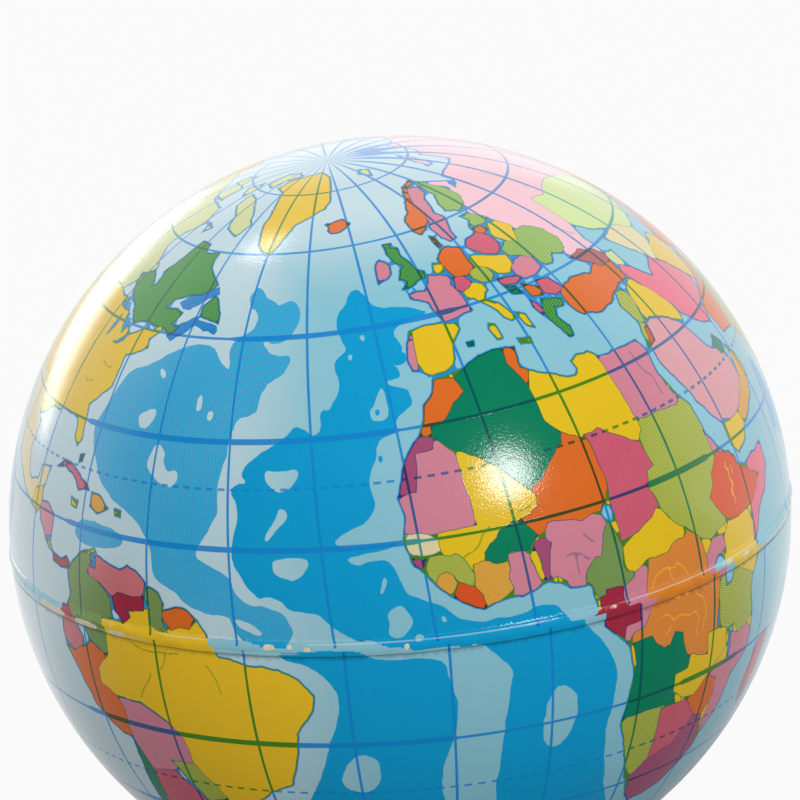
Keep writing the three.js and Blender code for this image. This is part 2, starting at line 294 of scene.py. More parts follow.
    ("lime", "40.2 38.5, 42.8 38.6, 43.3 37.2, 42.3 35.3, 41.3 33.4, 39.8 33.4, 39 35, 38.4 36.6"),
    ("lime", "39.8 34, 41 33.4, 38.6 30.4, 37.4 30.2, 38.8 32.8"),
    ("flame", "40 32.9, 41 33, 40.3 30.8, 38.5 30.2"),
    ("dusk", "38.2 30.4, 40.3 30.8, 41.2 33.2, 43.2 33.3, 45 33, 47.8 32, 50.4 30.4, 51 28.8, "
     "52.5 26.6, 54 25.4, 56.2 25.4, 57.5 22.5, 57 20.5, 54 18.6, 50 17.4, 47 17.3, 45 17.8, "
     "44.6 17.4, 43.1 19, 41.9 20.3, 40.9 21.8, 40.6 23.2, 39.5 24.7, 38.5 26.8, 38 28.6"),
    ("yellow", "44.6 17.4, 47 17.3, 50 17.4, 51.5 16, 49.3 13.8, 46.2 13, 44.8 14.2, 44.6 16"),
    ("amber", "50 17.4, 54 18.6, 57 20.5, 58.5 22.6, 58.5 24.6, 60.5 22.6, 61 20.4, 59.5 18.6, "
     "57 17.2, 54 16.2, 51.5 15.4"),
    ("teal", "54.2 25.6, 56.5 26.8, 58.3 25.2, 57.3 24, 55.5 24.2"),
    ("lime", "68 24.3, 70 27.5, 73 30, 75 35, 78 35, 81 30, 88 27, 92 26.5, 97 28, 94 24, 92 21, "
     "87 21, 82 16.5, 80 13, 79.5 9, 77 8, 74 14, 72.5 20"),
    ("orange", "73 38, 80 42, 87 49, 98 50, 105 42, 118 44, 120 53, 130 48, 131 43, 124 40, 118 38, "
     "122 36, 121 31, 122 28, 117 23.5, 108 21.5, 100 22, 97 28, 88 27, 81 30, 78 35, 75 36"),
    ("yellow", "87 49, 98 52, 108 49.5, 116 49.5, 118 46, 108 42, 97 43"),
    ("pink", "92 26, 97 28, 100 22, 98 16, 99 9, 96 16, 92 21"),
    ("teal", "98 17, 104 18, 105 14, 101 12, 100 6, 99 9"),
    ("crimson", "100 22, 106 23, 108 21.5, 106 18, 109 13, 106 9, 105 12, 106 15, 103 19"),
    ("flame", "130 31, 132 34, 136 34, 140 35, 142 40, 145 43.5, 141 45.5, 140 41, 137 37, 132 35.5"),
    ("lime", "125 40, 130 42.5, 127 39, 129.5 35.5, 126.5 34.5"),
    ("yellow", "79.8 9.5, 81.8 7.5, 80.5 6"),
    ("green", "95 5.5, 98 4, 104 -2, 106 -6, 102 -4.5"),
    ("green", "105.5 -6, 114.5 -7.5, 114 -8.6, 106 -7.4"),
    ("amber", "109 1.5, 113 3.5, 117 7, 119 5, 118 1, 116 -4, 110 -2.5"),
    ("pink", "119 1, 125 1.5, 121 -.5, 123 -5, 120 -5.5"),
    ("rose", "120 18.5, 122 18, 122 14, 126 7, 122 7, 123 11, 120 15"),
    ("orange", "131 -1, 138 -2, 145 -4.5, 150.5 -10.5, 143 -9, 138 -8, 133 -4"),
    ("rust", "114 -22, 122 -18, 129 -15, 132 -11.5, 137 -12, 136 -15, 140 -17.5, 142.5 -11, 146 -19, "
     "153 -25, 153 -31, 150 -37.5, 146 -39, 140 -38, 136 -34.5, 131 -31.5, 124 -33.5, 118 -35, "
     "115 -34, 115 -29"),
    ("green", "145 -41, 148 -41, 147 -43.5"),
    ("yellow", "173 -35, 178 -38, 175 -41.5, 173.5 -39"),
    ("yellow", "172.5 -41, 174 -42, 170 -46.5, 167 -45.5"),
    # Africa
    ("yellow", "-6.4 35.8, 0 36.7, 8.6 37.8, 11.2 37.4, 10.6 34.6, 11.6 33.8, 15 32.8, 17.4 31.8, "
     "19.7 31.4, 20.6 32.1, 20.2 33.2, 22.2 33.7, 24.5 33.5, 26 32.4, 30 32.2, 36 32.2, 36.9 30, "
     "35.9 27.1, 37.6 23.4, 39 21.5, 39.3 17, 40 15.2, 43.3 14, 44.4 12, 47.2 11, 50 11.6, 53.6 12, "
     "53.6 9, 50.4 6.4, 48 4.8, 45 1, 42.6 -1.4, 40.6 -3.4, 40 -6, 41 -9.5, 41 -14.5, 37 -18, "
     "35.5 -23.5, 33 -26, 32.5 -29, 27 -34, 20 -35, 18 -33, 15 -26.5, 12 -18, 13.8 -11, 12.6 -6, "
     "9.6 -3, 8.8 -.8, 10 1, 9.6 4.5, 8.4 4.7, 5.6 5.2, 3.1 6.6, 1 5.9, -2 5.2, -5 5.1, -7.5 4.4, "
     "-11 6.4, -14 9.2, -16.6 12, -17.3 14.6, -16.5 18, -17 21.2, -14.6 26, -11.4 28.8, -9.6 31.2, "
     "-7.2 34.5"),
    ("teal", "-2.5 35.7, 0 36.7, 3 37.6, 6.9 38, 8.6 37.8, 8.4 35.6, 9.8 33, 10.2 30.4, 10.3 27, "
     "12.3 25, 11.5 23.8, 9 22.4, 7.2 20.9, 5.6 19.7, 3.6 19.2, -.4 22.9, -3 24.6, -5.9 26, -9.2 28.3, "
     "-8.9 30, -6.2 30.2, -3.8 32.3, -1.4 33.6"),
    ("orange", "-6.4 35.8, -2.5 35.7, -1.4 33.6, -3.8 32.3, -6.2 30.2, -8.9 30, -9.3 28.4, -11.4 28.8, "
     "-10.3 30, -9.7 31.4, -9.5 32.8, -7.2 34.5"),
    ("orange", "8.6 37.8, 11.2 37.4, 10.6 34.6, 11.3 33.8, 10.3 31.6, 9.8 33, 8.4 35.6"),
    ("pink", "-9.2 28.3, -6.4 26, -5.8 16, -12 15.6, -14.6 15.3, -17 16.2, -16.5 18.4, -17 21.2, "
     "-13.8 21.4, -13.3 24.2, -12.8 26.5, -9.7 26.7"),
    ("mauve", "-9.2 28.3, -9.7 26.7, -12.8 26.5, -13.3 24.2, -13.8 21.4, -17 21.2, -16.4 22.8, "
     "-14.8 25.9, -12.8 28, -11.4 28.8"),
    ("orange", "12.2 25.2, 13.6 24.2, 16 23.4, 16.5 20.8, 16.8 18, 15.6 15.2, 13.8 13.9, 12.4 13.9, "
     "10.4 13.4, 8.6 14, 7 14.2, 5 14.4, 4.4 13.4, 3 12.8, 1.4 14.8, .6 15.6, 2.6 16, 4.2 16.6, "
     "4.3 18.2, 3.6 19.2, 5.6 19.7, 7.2 20.9, 9 22.4, 11.5 23.8"),
    ("crimson", "16 24, 18.7 24, 21.6 22.5, 25.2 20.7, 25.4 19, 25.9 17.2, 24.4 16.8, 23.6 14.4, "
     "24.3 12, 22.6 11, 20.7 10.4, 18.3 9.6, 16 9.2, 16.2 11.5, 16 14.2, 16.6 17.5, 16.5 21.2"),
    ("pink", "25.7 32.5, 29.5 32.2, 32.3 32.4, 36.2 32.2, 36.9 30, 36.3 28.8, 35.9 27.1, 36.1 25.2, "
     "37.5 23.3, 36 22.6, 31.8 23, 26.5 23.3, 26.2 28"),
    ("lime", "26.5 23.3, 31.8 23, 36 22.6, 37.9 23.3, 38.9 22, 39.1 19, 39.3 17.1, 39.3 15.2, "
     "38.9 14.2, 37 12.8, 36.3 11, 35 10, 36.4 8, 38 6, 35.5 5.6, 33.2 4.8, 30.8 5.8, 29 7.3, "
     "28.2 7.9, 25.8 9.6, 24.6 11.6, 23.6 14.4, 24.4 16.8, 25.9 17.2, 25.4 19, 25.4 21, 26.6 21.8"),
    ("pink", "38.8 18.2, 39.8 17.2, 41.2 15.2, 42.6 13.6, 40.4 15, 39.2 15.2"),
    ("flame", "39.6 15, 42.6 14.2, 44.2 13.2, 44.3 12, 47.2 10.3, 50 8.8, 47.7 7.4, 45.2 6, 40.8 5.6, "
     "38 6, 36.4 8, 35 10, 36.3 11, 37 12.8, 38.9 14.2"),
    ("rose", "47.2 11.4, 50 11.8, 53.8 12, 53.8 9.6, 51 6.6, 48 5, 45 1, 44.4 .4, 44.8 4.8, 45.2 6, "
     "47.7 7.4, 50 8.8, 47.2 10.3"),
    ("yellow", "38 5.8, 40.8 5.6, 44 5.8, 44.7 3.6, 44.4 .8, 42.2 -1.4, 40.6 -3.6, 36.4 -1.3, 34.4 .2, "
     "36.2 2, 36.4 4.2"),
    ("pink", "33.4 4.9, 36.2 4.6, 36.3 2.6, 34.4 1.8, 33.6 0, 33 -1.6, 32.4 -3, 31 -3, 31.4 0, 31.4 3, "
     "32.4 4"),
    ("lime", "32.2 -1, 34.6 -1.6, 35.4 -.6, 36.4 -1.3, 40.6 -3.6, 40 -6, 41 -9.5, 39.5 -10.8, "
     "36.8 -11.4, 35.4 -9.6, 33 -9.8, 31.6 -8.4, 31 -4.6, 31.4 -2"),
    ("pale", "34.2 2.2, 35.4 1.6, 36 .2, 35 -1, 34.4 -2.8, 33 -3, 33 -1, 33 1"),
    ("pale", "30.6 -3.6, 31.2 -4.4, 31.4 -8.6, 30.8 -8.2"),
    ("yellow", "24.6 11.6, 25.4 10, 28.2 7.9, 27.3 6.8, 25.2 6.4, 23.6 5.6, 20.2 5.8, 18.6 5, "
     "17.2 4.2, 15.8 5, 15.8 8.4, 18.4 9.6, 20.7 10.4, 22.6 11, 23.6 12"),
    ("rust", "20.2 5.8, 23.6 5.6, 25.2 6.4, 27.3 6.8, 28.6 7.4, 30.8 5.8, 31.4 3, 31.4 0, 31.2 -4.6, "
     "31 -8.6, 28.6 -8.8, 29 -12.4, 27 -11.6, 24.4 -10.8, 23.4 -9, 23 -6.8, 21.4 -6.4, 20.6 -8, "
     "19.2 -8, 17.6 -7, 17 -5.8, 13 -5.7, 13.6 -4.2, 15.6 -4, 17 -1.4, 18.6 .4, 19.2 3.4"),
    ("teal", "13 -5.8, 17 -5.9, 17.6 -7, 19.2 -8, 20.6 -8, 21.4 -6.4, 23 -6.8, 23.4 -9, 24.4 -10.8, "
     "25 -11, 24.6 -13, 22 -16, 23 -18, 14 -17.4, 12 -17.6, 13.6 -12.6, 14 -9"),
    ("yellow", "31.2 -8.8, 33.4 -9.4, 33.8 -12.6, 30 -15.6, 27 -18, 24.4 -17.4, 22 -16, 22 -13, "
     "24.6 -13, 25 -11, 27 -11.6, 29 -12.4, 28.6 -8.8"),
    ("pale", "34.2 -9.6, 35 -9.8, 35.2 -14, 34.4 -13.8"),
    ("pink", "34.6 -10.6, 36.8 -11.4, 39.5 -10.8, 41 -12, 41 -15, 37 -18, 35.5 -23.5, 33 -26.4, "
     "32 -24, 32.4 -18, 30 -15.6, 35 -14.6"),
    ("orange", "27 -18, 30 -15.6, 32.4 -17, 32.6 -20, 31 -22.4, 28.6 -21.8, 25.4 -18"),
    ("crimson", "20 -18.4, 25.4 -18, 28.6 -21.8, 25 -25.6, 20 -26.6"),
    ("lime", "12 -17.6, 14 -17.4, 23 -18, 20 -18.4, 20 -28.4, 17 -28.8, 15 -26.5"),
    ("mauve", "17 -28.8, 20 -26.6, 25 -25.6, 28.6 -21.8, 31 -22.4, 32.4 -26.6, 32.5 -29, 27 -34, "
     "20 -35, 18 -33"),
    ("crimson", "43.5 -21.5, 44.5 -16.5, 47.5 -15, 50 -15, 47.5 -25, 45 -25.5"),
    ("wine", "11.8 3.3, 14.6 3.1, 14.6 1.4, 15 0, 15.2 -2.6, 13.7 -3, 12.2 -3.2, 11.9 -4.8, 10.6 -3.8, "
     "8.6 -2, 8.8 0, 10.2 1, 10.6 2.4"),
    ("pink", "14.6 3.1, 16.8 3.6, 17.2 4.4, 18.6 5, 19.6 5.2, 19.2 3.4, 18.6 .4, 17 -1.4, 15.6 -4, "
     "13.6 -4.2, 12.4 -5.6, 11.9 -4.8, 12.2 -3.2, 15.2 -2.6, 15 0, 14.6 1.4"),
    ("olive", "14.8 12.6, 15.2 11.5, 15.9 8.8, 15.5 5.9, 15.9 4.9, 17.2 4.4, 16.8 3.6, 14.6 3.1, "
     "11.8 3.3, 11.6 2.6, 10.4 2.4, 9.9 3.8, 8.8 4.9, 9.4 6.9, 11 8.1, 12 7.9, 13 9.9, 13.9 12"),
    ("pale", "14.6 14.6, 16 14.2, 15.6 12.2, 14.4 12.6, 13.8 13.6"),
    ("pink", "4.4 13.4, 5 14.4, 7 14.2, 8.6 14, 10.4 13.4, 12.4 13.9, 13.8 13.4, 14.4 12.4, 13 9.9, "
     "12 7.9, 11 8.1, 9.4 6.9, 8.6 4.8, 6.1 4.9, 5.8 5.9, 4.6 6.8, 3.1 6.8, 3.6 9.6, 4 12"),
    ("mauve", "2.2 12.3, 3.6 12.5, 4.8 11.6, 4 9.8, 3.4 6.7, 2.4 6.8, 2.5 9.2, 1.4 11.2"),
    ("yellow", "1.1 11.3, 2 11, 2.3 9.4, 2.6 7.2, 2 6.5, 1.6 8.1, 1 10.2"),
    ("pink", "-2.4 11.4, 0 11.5, 1 11, 1 9.8, 1.6 8, 2 6.4, .3 5.8, -1.7 5.1, -2.7 5.5, -2.4 6.5, "
     "-2.8 8.1, -2.3 9.3"),
    ("amber", "-7.5 10.9, -5.6 10.9, -2.6 10.6, -2.3 9.3, -2.8 8.1, -2.4 6.5, -3.4 5.7, -4.9 5, "
     "-6.9 4.5, -7.3 6.2, -8.1 7.8, -7.8 9.4"),
    ("flame", "-10.2 8.8, -8.1 7.8, -7.3 6.2, -6.9 4.5, -7.5 4.3, -8.8 4.8, -11.5 6.7"),
    ("amber", "-13.1 10, -11.9 10.3, -10.9 9.7, -10.4 8.6, -11.8 6.9, -12.9 7.8, -13.6 9"),
    ("lime", "-14 12.7, -12.3 12.8, -10.9 12.5, -9.8 12.7, -8.9 12, -8.1 10.8, -7.8 9.4, -8.2 7.8, "
     "-10.2 8.8, -10.9 9.7, -11.9 10.3, -13.1 10, -13.6 9, -14.5 10, -14.6 11"),
    ("mauve", "-16.7 12.9, -14.3 12.6, -14.6 11.6, -15.4 11, -16.4 11.6"),
    ("cream", "-16.6 16, -14.7 16, -13.2 15.6, -12 14.7, -11.9 13.2, -13.9 12.9, -17 13.4, -17 14.6"),
    ("teal", "-.1 15.7, 1.5 15, 2.9 12.9, 1.7 12.1, 1.1 11.4, 0 11.4, -1.5 11.8, -2.4 11.3, -3.1 10.5, "
     "-4.7 10.4, -5.6 11, -5.6 12, -4.8 13, -3.3 13.7, -2.6 14.5, -1.7 15"),
    ("cream", "-180 -90, -179 -82, -150 -77, -120 -74, -100 -73, -75 -73, -62 -65, -58 -64, -62 -72, "
     "-60 -76, -30 -77, -10 -71, 20 -70, 50 -67, 80 -68, 110 -66, 140 -66.5, 165 -71, 168 -78, "
     "179 -82, 180 -90"),
]
# Fine rivers and borders inside a land
rivers = [
    "-3 16.2, -5.4 14.6, -6.2 13, -8.6 12.2, -9.4 11.4",
    "0 16.6, 2.6 17, 4 16.6",
    "33 31.9, 33.1 29.9, 33.2 28.3, 34.7 27, 34.1 25.3, 34.7 23.9",
    "9.8 12.6, 10.8 10.6, 12.6 9.6",
    "5.6 9.2, 8.4 9.6, 9.8 8, 10.6 8.6",
    "8 5.6, 8.2 8.2, 8 9.4",
    "-66 -1, -62 -2.4, -58 -2.2, -54 -1.6",
    "-58 -1, -58.6 -4, -61 -6",
    "-52 -2, -50 -5, -49 -10",
    "-84 39, -80 37.8, -77.4 38.6",
    "-88 36, -84 35, -82 36.6",
    "-90 44, -90.4 38, -90 32",
    "43 51.6, 46 48.8, 48 46.2",
    "56 66, 60 60, 58 54",
    "73 67, 76 60, 70 56",
    "86 70, 90 62, 92 55",
    "126 72, 124 64, 116 58",
    "-65.4 -11, -63 -8, -60 -4",
]

# Pale lines printed on the red and orange inks
trails = [
    "41.4 13.4, 40.6 12.4, 41.6 11.8, 41 10.6, 42 10, 40.4 9.2, 41.2 8, 40.4 6.8",
    "42.2 12.6, 42.6 11.4, 41.8 10.8",
    ("19.4 .6, 20 2.2, 21.4 3.4, 23 3.6, 24.6 3, 25.2 3.8, 26.6 2.6, 27.2 .6, 28.6 .2, 29.6 -1.2, "
     "29.2 -3.4"),
    "23 3.6, 24 1, 25.4 -.4, 26 -2.2, 27.6 -3, 28 -5.2, 27.2 -7.4, 28 -8.8",
    "18.4 -3.6, 20 -3.2, 21 -4.4, 22.6 -4, 24 -4.8, 25.6 -4.4, 26.4 -6, 25.8 -7.8, 26.6 -9.4",
    "19.6 -.6, 21.6 -1.4, 23.4 -.8, 25.2 -1.6",
    "19.4 -7, 20 -5.6, 21.2 -5",
]


class Wire:
    # A shader socket that works in sums
    def __init__(self, finish, socket):
        self.finish = finish
        self.socket = socket

    def math(self, operation, *others):
        inputs = {i: v for i, v in enumerate((self, *others))}
        return self.finish.node("ShaderNodeMath", {"operation": operation}, inputs)

    def __add__(self, other):
        return self.math("ADD", other)

    def __sub__(self, other):
        return self.math("SUBTRACT", other)

    def __mul__(self, other):
        return self.math("MULTIPLY", other)

    def __rsub__(self, other):
        return self.finish.node("ShaderNodeMath", {"operation": "SUBTRACT"}, {0: other, 1: self})

    def __lt__(self, other):
        return self.math("LESS_THAN", other)

    def __gt__(self, other):
        return self.math("GREATER_THAN", other)

    def __pow__(self, other):
        return self.math("POWER", other)

    def __abs__(self):
        return self.math("ABSOLUTE")

    __radd__ = __add__
    __rmul__ = __mul__

    def least(self, other):
        return self.math("MINIMUM", other)

    def most(self, other):
        return self.math("MAXIMUM", other)

    def ramp(self, start, end, low=0, high=1):
        # smooth from low at start to high at end
        sockets = {"Value": self, "From Min": start, "From Max": end, "To Min": low, "To Max": high}
        return self.finish.node("ShaderNodeMapRange", {"interpolation_type": "SMOOTHSTEP"}, sockets)

    def window(self, start, end, soft):
        return self.ramp(start - soft, start) * self.ramp(end, end + soft, 1, 0)


class Finish:
    # The nodes of a material or of the world, and the one way that they are made
    def __init__(self, owner):
        owner.use_nodes = True
        self.owner = owner
        self.tree = owner.node_tree
        self.tree.nodes.clear()

    def node(self, kind, settings=None, sockets=None, out=0):
        made = self.tree.nodes.new(kind)
        for key, value in (settings or {}).items():
            setattr(made, key, value)
        for key, value in (sockets or {}).items():
            if isinstance(value, Wire):
                self.tree.links.new(value.socket, made.inputs[key])
            else:
                made.inputs[key].default_value = value
        return Wire(self, made.outputs[out]) if len(made.outputs) else None

    def wire(self, other, out):
        return Wire(self, other.socket.node.outputs[out])

    def attribute(self, name, out="Fac"):
        return self.node("ShaderNodeAttribute", {"attribute_name": name}, out=out)

    def mix(self, amount, first, second, blend="MIX"):
        settings = {"data_type": "RGBA", "blend_type": blend}
        return self.node("ShaderNodeMix", settings, {0: amount, 6: first, 7: second}, out=2)

    def objectPlace(self):
        return self.node("ShaderNodeTexCoord", out="Object")

    def noise(self, size, detail=2.0):
        # size is that of one mark, in metres
        sockets = {"Vector": self.objectPlace(), "Scale": 1 / size, "Detail": detail, "Roughness": 0.5}
        return self.node("ShaderNodeTexNoise", {}, sockets)

    def bump(self, height, depth, strength=1.0, normal=None):
        sockets = {"Height": height, "Distance": depth, "Strength": strength}
        if normal:
            sockets["Normal"] = normal
        return self.node("ShaderNodeBump", {}, sockets)

    def surface(self, **values):
        words = {key.replace("_", " "): value for key, value in values.items()}
        shader = self.node("ShaderNodeBsdfPrincipled", {}, words)
        self.node("ShaderNodeOutputMaterial", {}, {"Surface": shader})
        return self.owner


def linear(colour):
    # from the 0 to 255 of a paint chart to Blender's own values
    shares = [c / 255 for c in colour]
    return [s / 12.92 if s <= 0.04045 else ((s + 0.055) / 1.055) ** 2.4 for s in shares] + [1.0]


# How the print lies on the ball, in degrees: the map's pole slips off the axis of the seam, its
# meridians sway, and the southern print is turned against the northern one
fit = dict(
    sway=2.612, swayFrom=26.16, turn=-0.688, poleIn=0.3467, poleBack=0.3571,
    northSlip=6.492, northSide=0.0175, slipPower=1.774, southTurn=1.35, southSway=1.4, southFrom=22,
)

# How an outline is drawn, in degrees: the length of its steps, the roughness of coasts and of seas, how
# far past the equator a half's outline may reach, and where it is left out of that half
drawing = dict(
    step=0.6, mostSteps=40, coastRough=0.28, seaRough=0.22, squash=0.9, bays=0.55, nicks=1.7, nickShare=0.45,
    reach=94.0, leftOut=91.5,
)

# The printed films: mm for the sheet and its rim, degrees for the grids on the flat print
film = dict(
    thickness=0.3, rim=0.668, rimWave=0.012, rimWaves=9, rimTuck=0.012, borderThinner=0.07, farAway=9.0,
    rimReach=88.87, rimCount=480, flatCount=90, pitch=0.66, innerPitch=5.0, innerReach=86.87,
)

# Places on the baked picture: the outer face, the rim's wall round it, and the inner face in a corner
bake = dict(outer=0.47, inner=0.06, corner=0.07, wallIn=0.472, wallOut=0.485)


def ballPoint(colatitude, longitude, depth=0.0, north=True):
    # colatitude is counted from the nearer pole, both in radians; in metres
    across = (ball["across"] - depth) * np.sin(colatitude)
    height = (ball["up"] - depth) * np.cos(colatitude) * (1 if north else -1) + ball["centre"]
    height = np.maximum(height, depth)
    return np.stack([across * np.cos(longitude), across * np.sin(longitude), height + 0 * longitude], -1) * mm


def pulledIn(r):
    return r * (1 - fit["poleIn"] * (1 - r / 90) + fit["poleBack"] * (1 - r / 90) * (r / 90))


def printedAt(x, y, north):
    # where a place on the flat print comes to lie: its colatitude and longitude on the ball
    r = np.hypot(x, y)
    lon = np.degrees(np.arctan2(y, x))
    t = lon - fit["sway"] * np.sin(np.radians(lon + fit["swayFrom"])) * np.minimum(r / 60, 1)
    if not north:
        t = t + fit["southTurn"] + fit["southSway"] * np.sin(np.radians(lon + fit["southFrom"]))
    reach = pulledIn(r)
    slip = (1 - (np.minimum(r, 90) / 90) ** fit["slipPower"]) * (1 if north else 0)
    t = np.radians(t)
    u = reach * np.cos(t) - fit["northSide"] * slip
    v = reach * np.sin(t) - fit["northSlip"] * slip
    return np.radians(np.hypot(u, v)), np.arctan2(v, u) + np.radians(fit["turn"])


def roundedOff(corners, closed):
    # cut each corner twice
    for _ in range(2):
        pairs = zip(corners, corners[1:] + (corners[:1] if closed else []))
        cuts = [(a, b, k) for a, b in pairs for k in (0.25, 0.75)]
        corners = [((1 - k) * a[0] + k * b[0], (1 - k) * a[1] + k * b[1]) for a, b, k in cuts]
    return corners


def flatOutline(text, north, rough, closed=True, rounded=False):
    # an outline in even steps on the flat print of one half, with the roughness of a coast
    corners = [tuple(float(v) for v in pair.split()) for pair in text.split(",")]
    if rounded:
        corners = roundedOff(corners, closed)
    ends = corners[1:] + (corners[:1] if closed else [])
    points = []
    for (lonA, latA), (lonB, latB) in zip(corners, ends):
        shrink = max(math.cos(math.radians((latA + latB) / 2)), 0.2)
        steps = max(1, round(math.hypot((lonB - lonA) * shrink, latB - latA) / drawing["step"]))
        steps = min(steps, drawing["mostSteps"])
        for k in range(steps):
            lon = lonA + (lonB - lonA) * k / steps
            lat = latA + (latB - latA) * k / steps
            spot = Vector((lon * drawing["squash"], lat, 0))
            push = noise.noise_vector(spot * drawing["bays"]) * rough
            push += noise.noise_vector(spot * drawing["nicks"]) * rough * drawing["nickShare"]
            lon += push.x / max(math.cos(math.radians(lat)), 0.3)
            lat += push.y
            r = max(min(90 - lat if north else 90 + lat, drawing["reach"]), 0.0)
            points.append((r * math.cos(math.radians(lon)), r * math.sin(math.radians(lon)), r))
    if min(p[2] for p in points) > drawing["leftOut"]:
        return None
    return np.array([p[:2] for p in points])


def layersOf(north):
    # every outline of one half in painting order: its ink and its points
    water = seas + [("pale", text) for text in shoals] + [("deep", text) for text in deeps]
    layers = [(ink, flatOutline(text, north, drawing["seaRough"], rounded=True)) for ink, text in water]
    layers += [(ink, flatOutline(text, north, drawing["coastRough"])) for ink, text in lands]
    return [(ink, points) for ink, points in layers if points is not None]


def linesOf(texts, north):
    # the open lines that reach one half
    lines = [flatOutline(text, north, drawing["seaRough"], closed=False, rounded=True) for text in texts]
    return [line for line in lines if line is not None]


def inside(points, outline):
    # which of the points lie inside an outline
    found = np.zeros(len(points), bool)
    low, high = outline.min(0), outline.max(0)
    near = np.nonzero((points > low).all(1) & (points < high).all(1))[0]
    if not len(near):
        return found
    x, y = points[near].T
    odd = np.zeros(len(near), bool)
    for (ax, ay), (bx, by) in zip(outline, np.roll(outline, -1, 0)):
        if ay == by:
            continue
        crosses = (ay > y) != (by > y)
        odd ^= crosses & (x < (bx - ax) * (y - ay) / (by - ay) + ax)
    found[near] = odd
    return found


def ring(reach, count):
    angles = np.arange(count) * math.tau / count
    return np.stack([np.cos(angles), np.sin(angles)], -1) * reach


def hexGrid(reach, pitch):
    rows = np.arange(-reach, reach, pitch * math.sqrt(0.75))
    along = np.arange(-reach, reach, pitch)
    grid = np.array([(x + (pitch / 2 if i % 2 else 0), y) for i, y in enumerate(rows) for x in along])
    return grid[np.hypot(grid[:, 0], grid[:, 1]) < reach - pitch * 0.6]


def triangles(points, edges):
    verts, _, faces, *_ = delaunay_2d_cdt([Vector(p) for p in points], edges, [], 0, 1e-5, False)
    return np.array([v[:] for v in verts]), np.array(faces)


def loopEdges(start, count, closed=True):
    last = count if closed else count - 1
    return [(start + k, start + (k + 1) % count) for k in range(last)]


def treeOf(points):
    tree = kdtree.KDTree(len(points))
    for i, p in enumerate(points):
        tree.insert((p[0], p[1], 0 if len(p) < 3 else p[2]), i)
    tree.balance()
    return tree


def flatReach():
    # how far the rest flat reaches on the flat print, in degrees from its pole
    steps = np.arange(0, 40, 0.01)
    return np.interp(math.degrees(math.asin(ball["flat"] / ball["across"])), pulledIn(steps), steps)


def cutSheet(strokes):
    # the flat print as triangles, cut along every stroke, each a line and whether it is closed
    edges, total = [], 0
    for line, closed in strokes:
        edges += loopEdges(total, len(line), closed)
        total += len(line)
    drawn = np.concatenate([line for line, _ in strokes])
    tree = treeOf(drawn)
    fill = hexGrid(film["rimReach"], film["pitch"])
    fill = np.array([p for p in fill if tree.find((p[0], p[1], 0))[2] > film["pitch"] * 0.5])
    verts, faces = triangles(np.concatenate([drawn, fill]), edges)
    middles = verts[faces].mean(1)
    kept = film["rimReach"] * math.cos(math.pi / film["rimCount"]) - 0.001
    faces = faces[np.hypot(middles[:, 0], middles[:, 1]) < kept]
    used, faces = np.unique(faces, return_inverse=True)
    return verts[used], faces.reshape(-1, 3)


def sidesOf(faces, owner, sea):
    # the triangles' sides where a coast runs, where a border runs, and on the rim
    sides = np.sort(np.concatenate([faces[:, [0, 1]], faces[:, [1, 2]], faces[:, [2, 0]]]), 1)
    who = np.tile(np.arange(len(faces)), 3)
    order = np.lexsort((sides[:, 1], sides[:, 0]))
    sides, who = sides[order], who[order]
    same = (sides[1:] == sides[:-1]).all(1)
    pairs = np.nonzero(same)[0]
    a, b = who[pairs], who[pairs + 1]
    change = owner[a] != owner[b]
    coast = sides[pairs[change & (sea[a] != sea[b])]]
    border = sides[pairs[change & ~sea[a] & ~sea[b]]]
    return coast, border, sides[~(np.append(same, False) | np.insert(same, 0, False))]


def sideGap(sides, places):
    # how far each place on the ball lies from the nearest of these sides, in mm
    ends = places[np.unique(sides)]
    halves = places[sides].mean(1)
    tree = treeOf(np.concatenate([ends, halves]))
    return np.array([tree.find(p)[2] for p in places]) / mm


def lineGap(lines, verts):
    # how far each place on the flat print lies from the nearest of these lines, in mm on the ball
    tree = treeOf(np.concatenate(lines) if lines else np.array([(200.0, 200.0)]))
    return np.array([tree.find((p[0], p[1], 0))[2] for p in verts]) * ball["degree"]


def written(mesh, name, kind, domain, values):
    # one attribute for the finish to read
    field = {"FLOAT": "value", "FLOAT_VECTOR": "vector", "FLOAT_COLOR": "color"}[kind]
    attribute = mesh.attributes.new(name, kind, domain)
    attribute.data.foreach_set(field, np.asarray(values).ravel().astype(np.float32))


def inked(mesh, perFace):
    # the ink of each face, at its corners; this gives the ink of each corner
    colours = np.array([linear(inks[ink]) for ink in inkNames])
    perCorner = np.repeat(perFace, [face.loop_total for face in mesh.polygons])
    written(mesh, "ink", "FLOAT_COLOR", "CORNER", colours[perCorner])
    return perCorner


def bakePlaces(mesh, verts, innerVerts, wallStart, wallEnd):
    # the film's places on a baked picture, with the wall of its rim as a ring round the map
    loops = np.array([loop.vertex_index for loop in mesh.loops])
    outerPlaces = verts / 90 * bake["outer"] + 0.5
    innerPlaces = innerVerts / 90 * bake["inner"] + bake["corner"]
    places = np.concatenate([outerPlaces, innerPlaces])[loops]
    wall = loops[wallStart:wallEnd]
    offset = len(verts)
    low = wall >= offset
    below = innerVerts[np.maximum(wall - offset, 0)]
    source = np.where(low[:, None], below, verts[np.minimum(wall, offset - 1)])
    direction = source / np.hypot(source[:, 0], source[:, 1])[:, None]
    reach = np.where(low, bake["wallOut"], bake["wallIn"])
    places[wallStart:wallEnd] = direction * reach[:, None] + 0.5
    layer = mesh.uv_layers.new(name="OFBake")
    layer.data.foreach_set("uv", places.ravel().astype(np.float32))


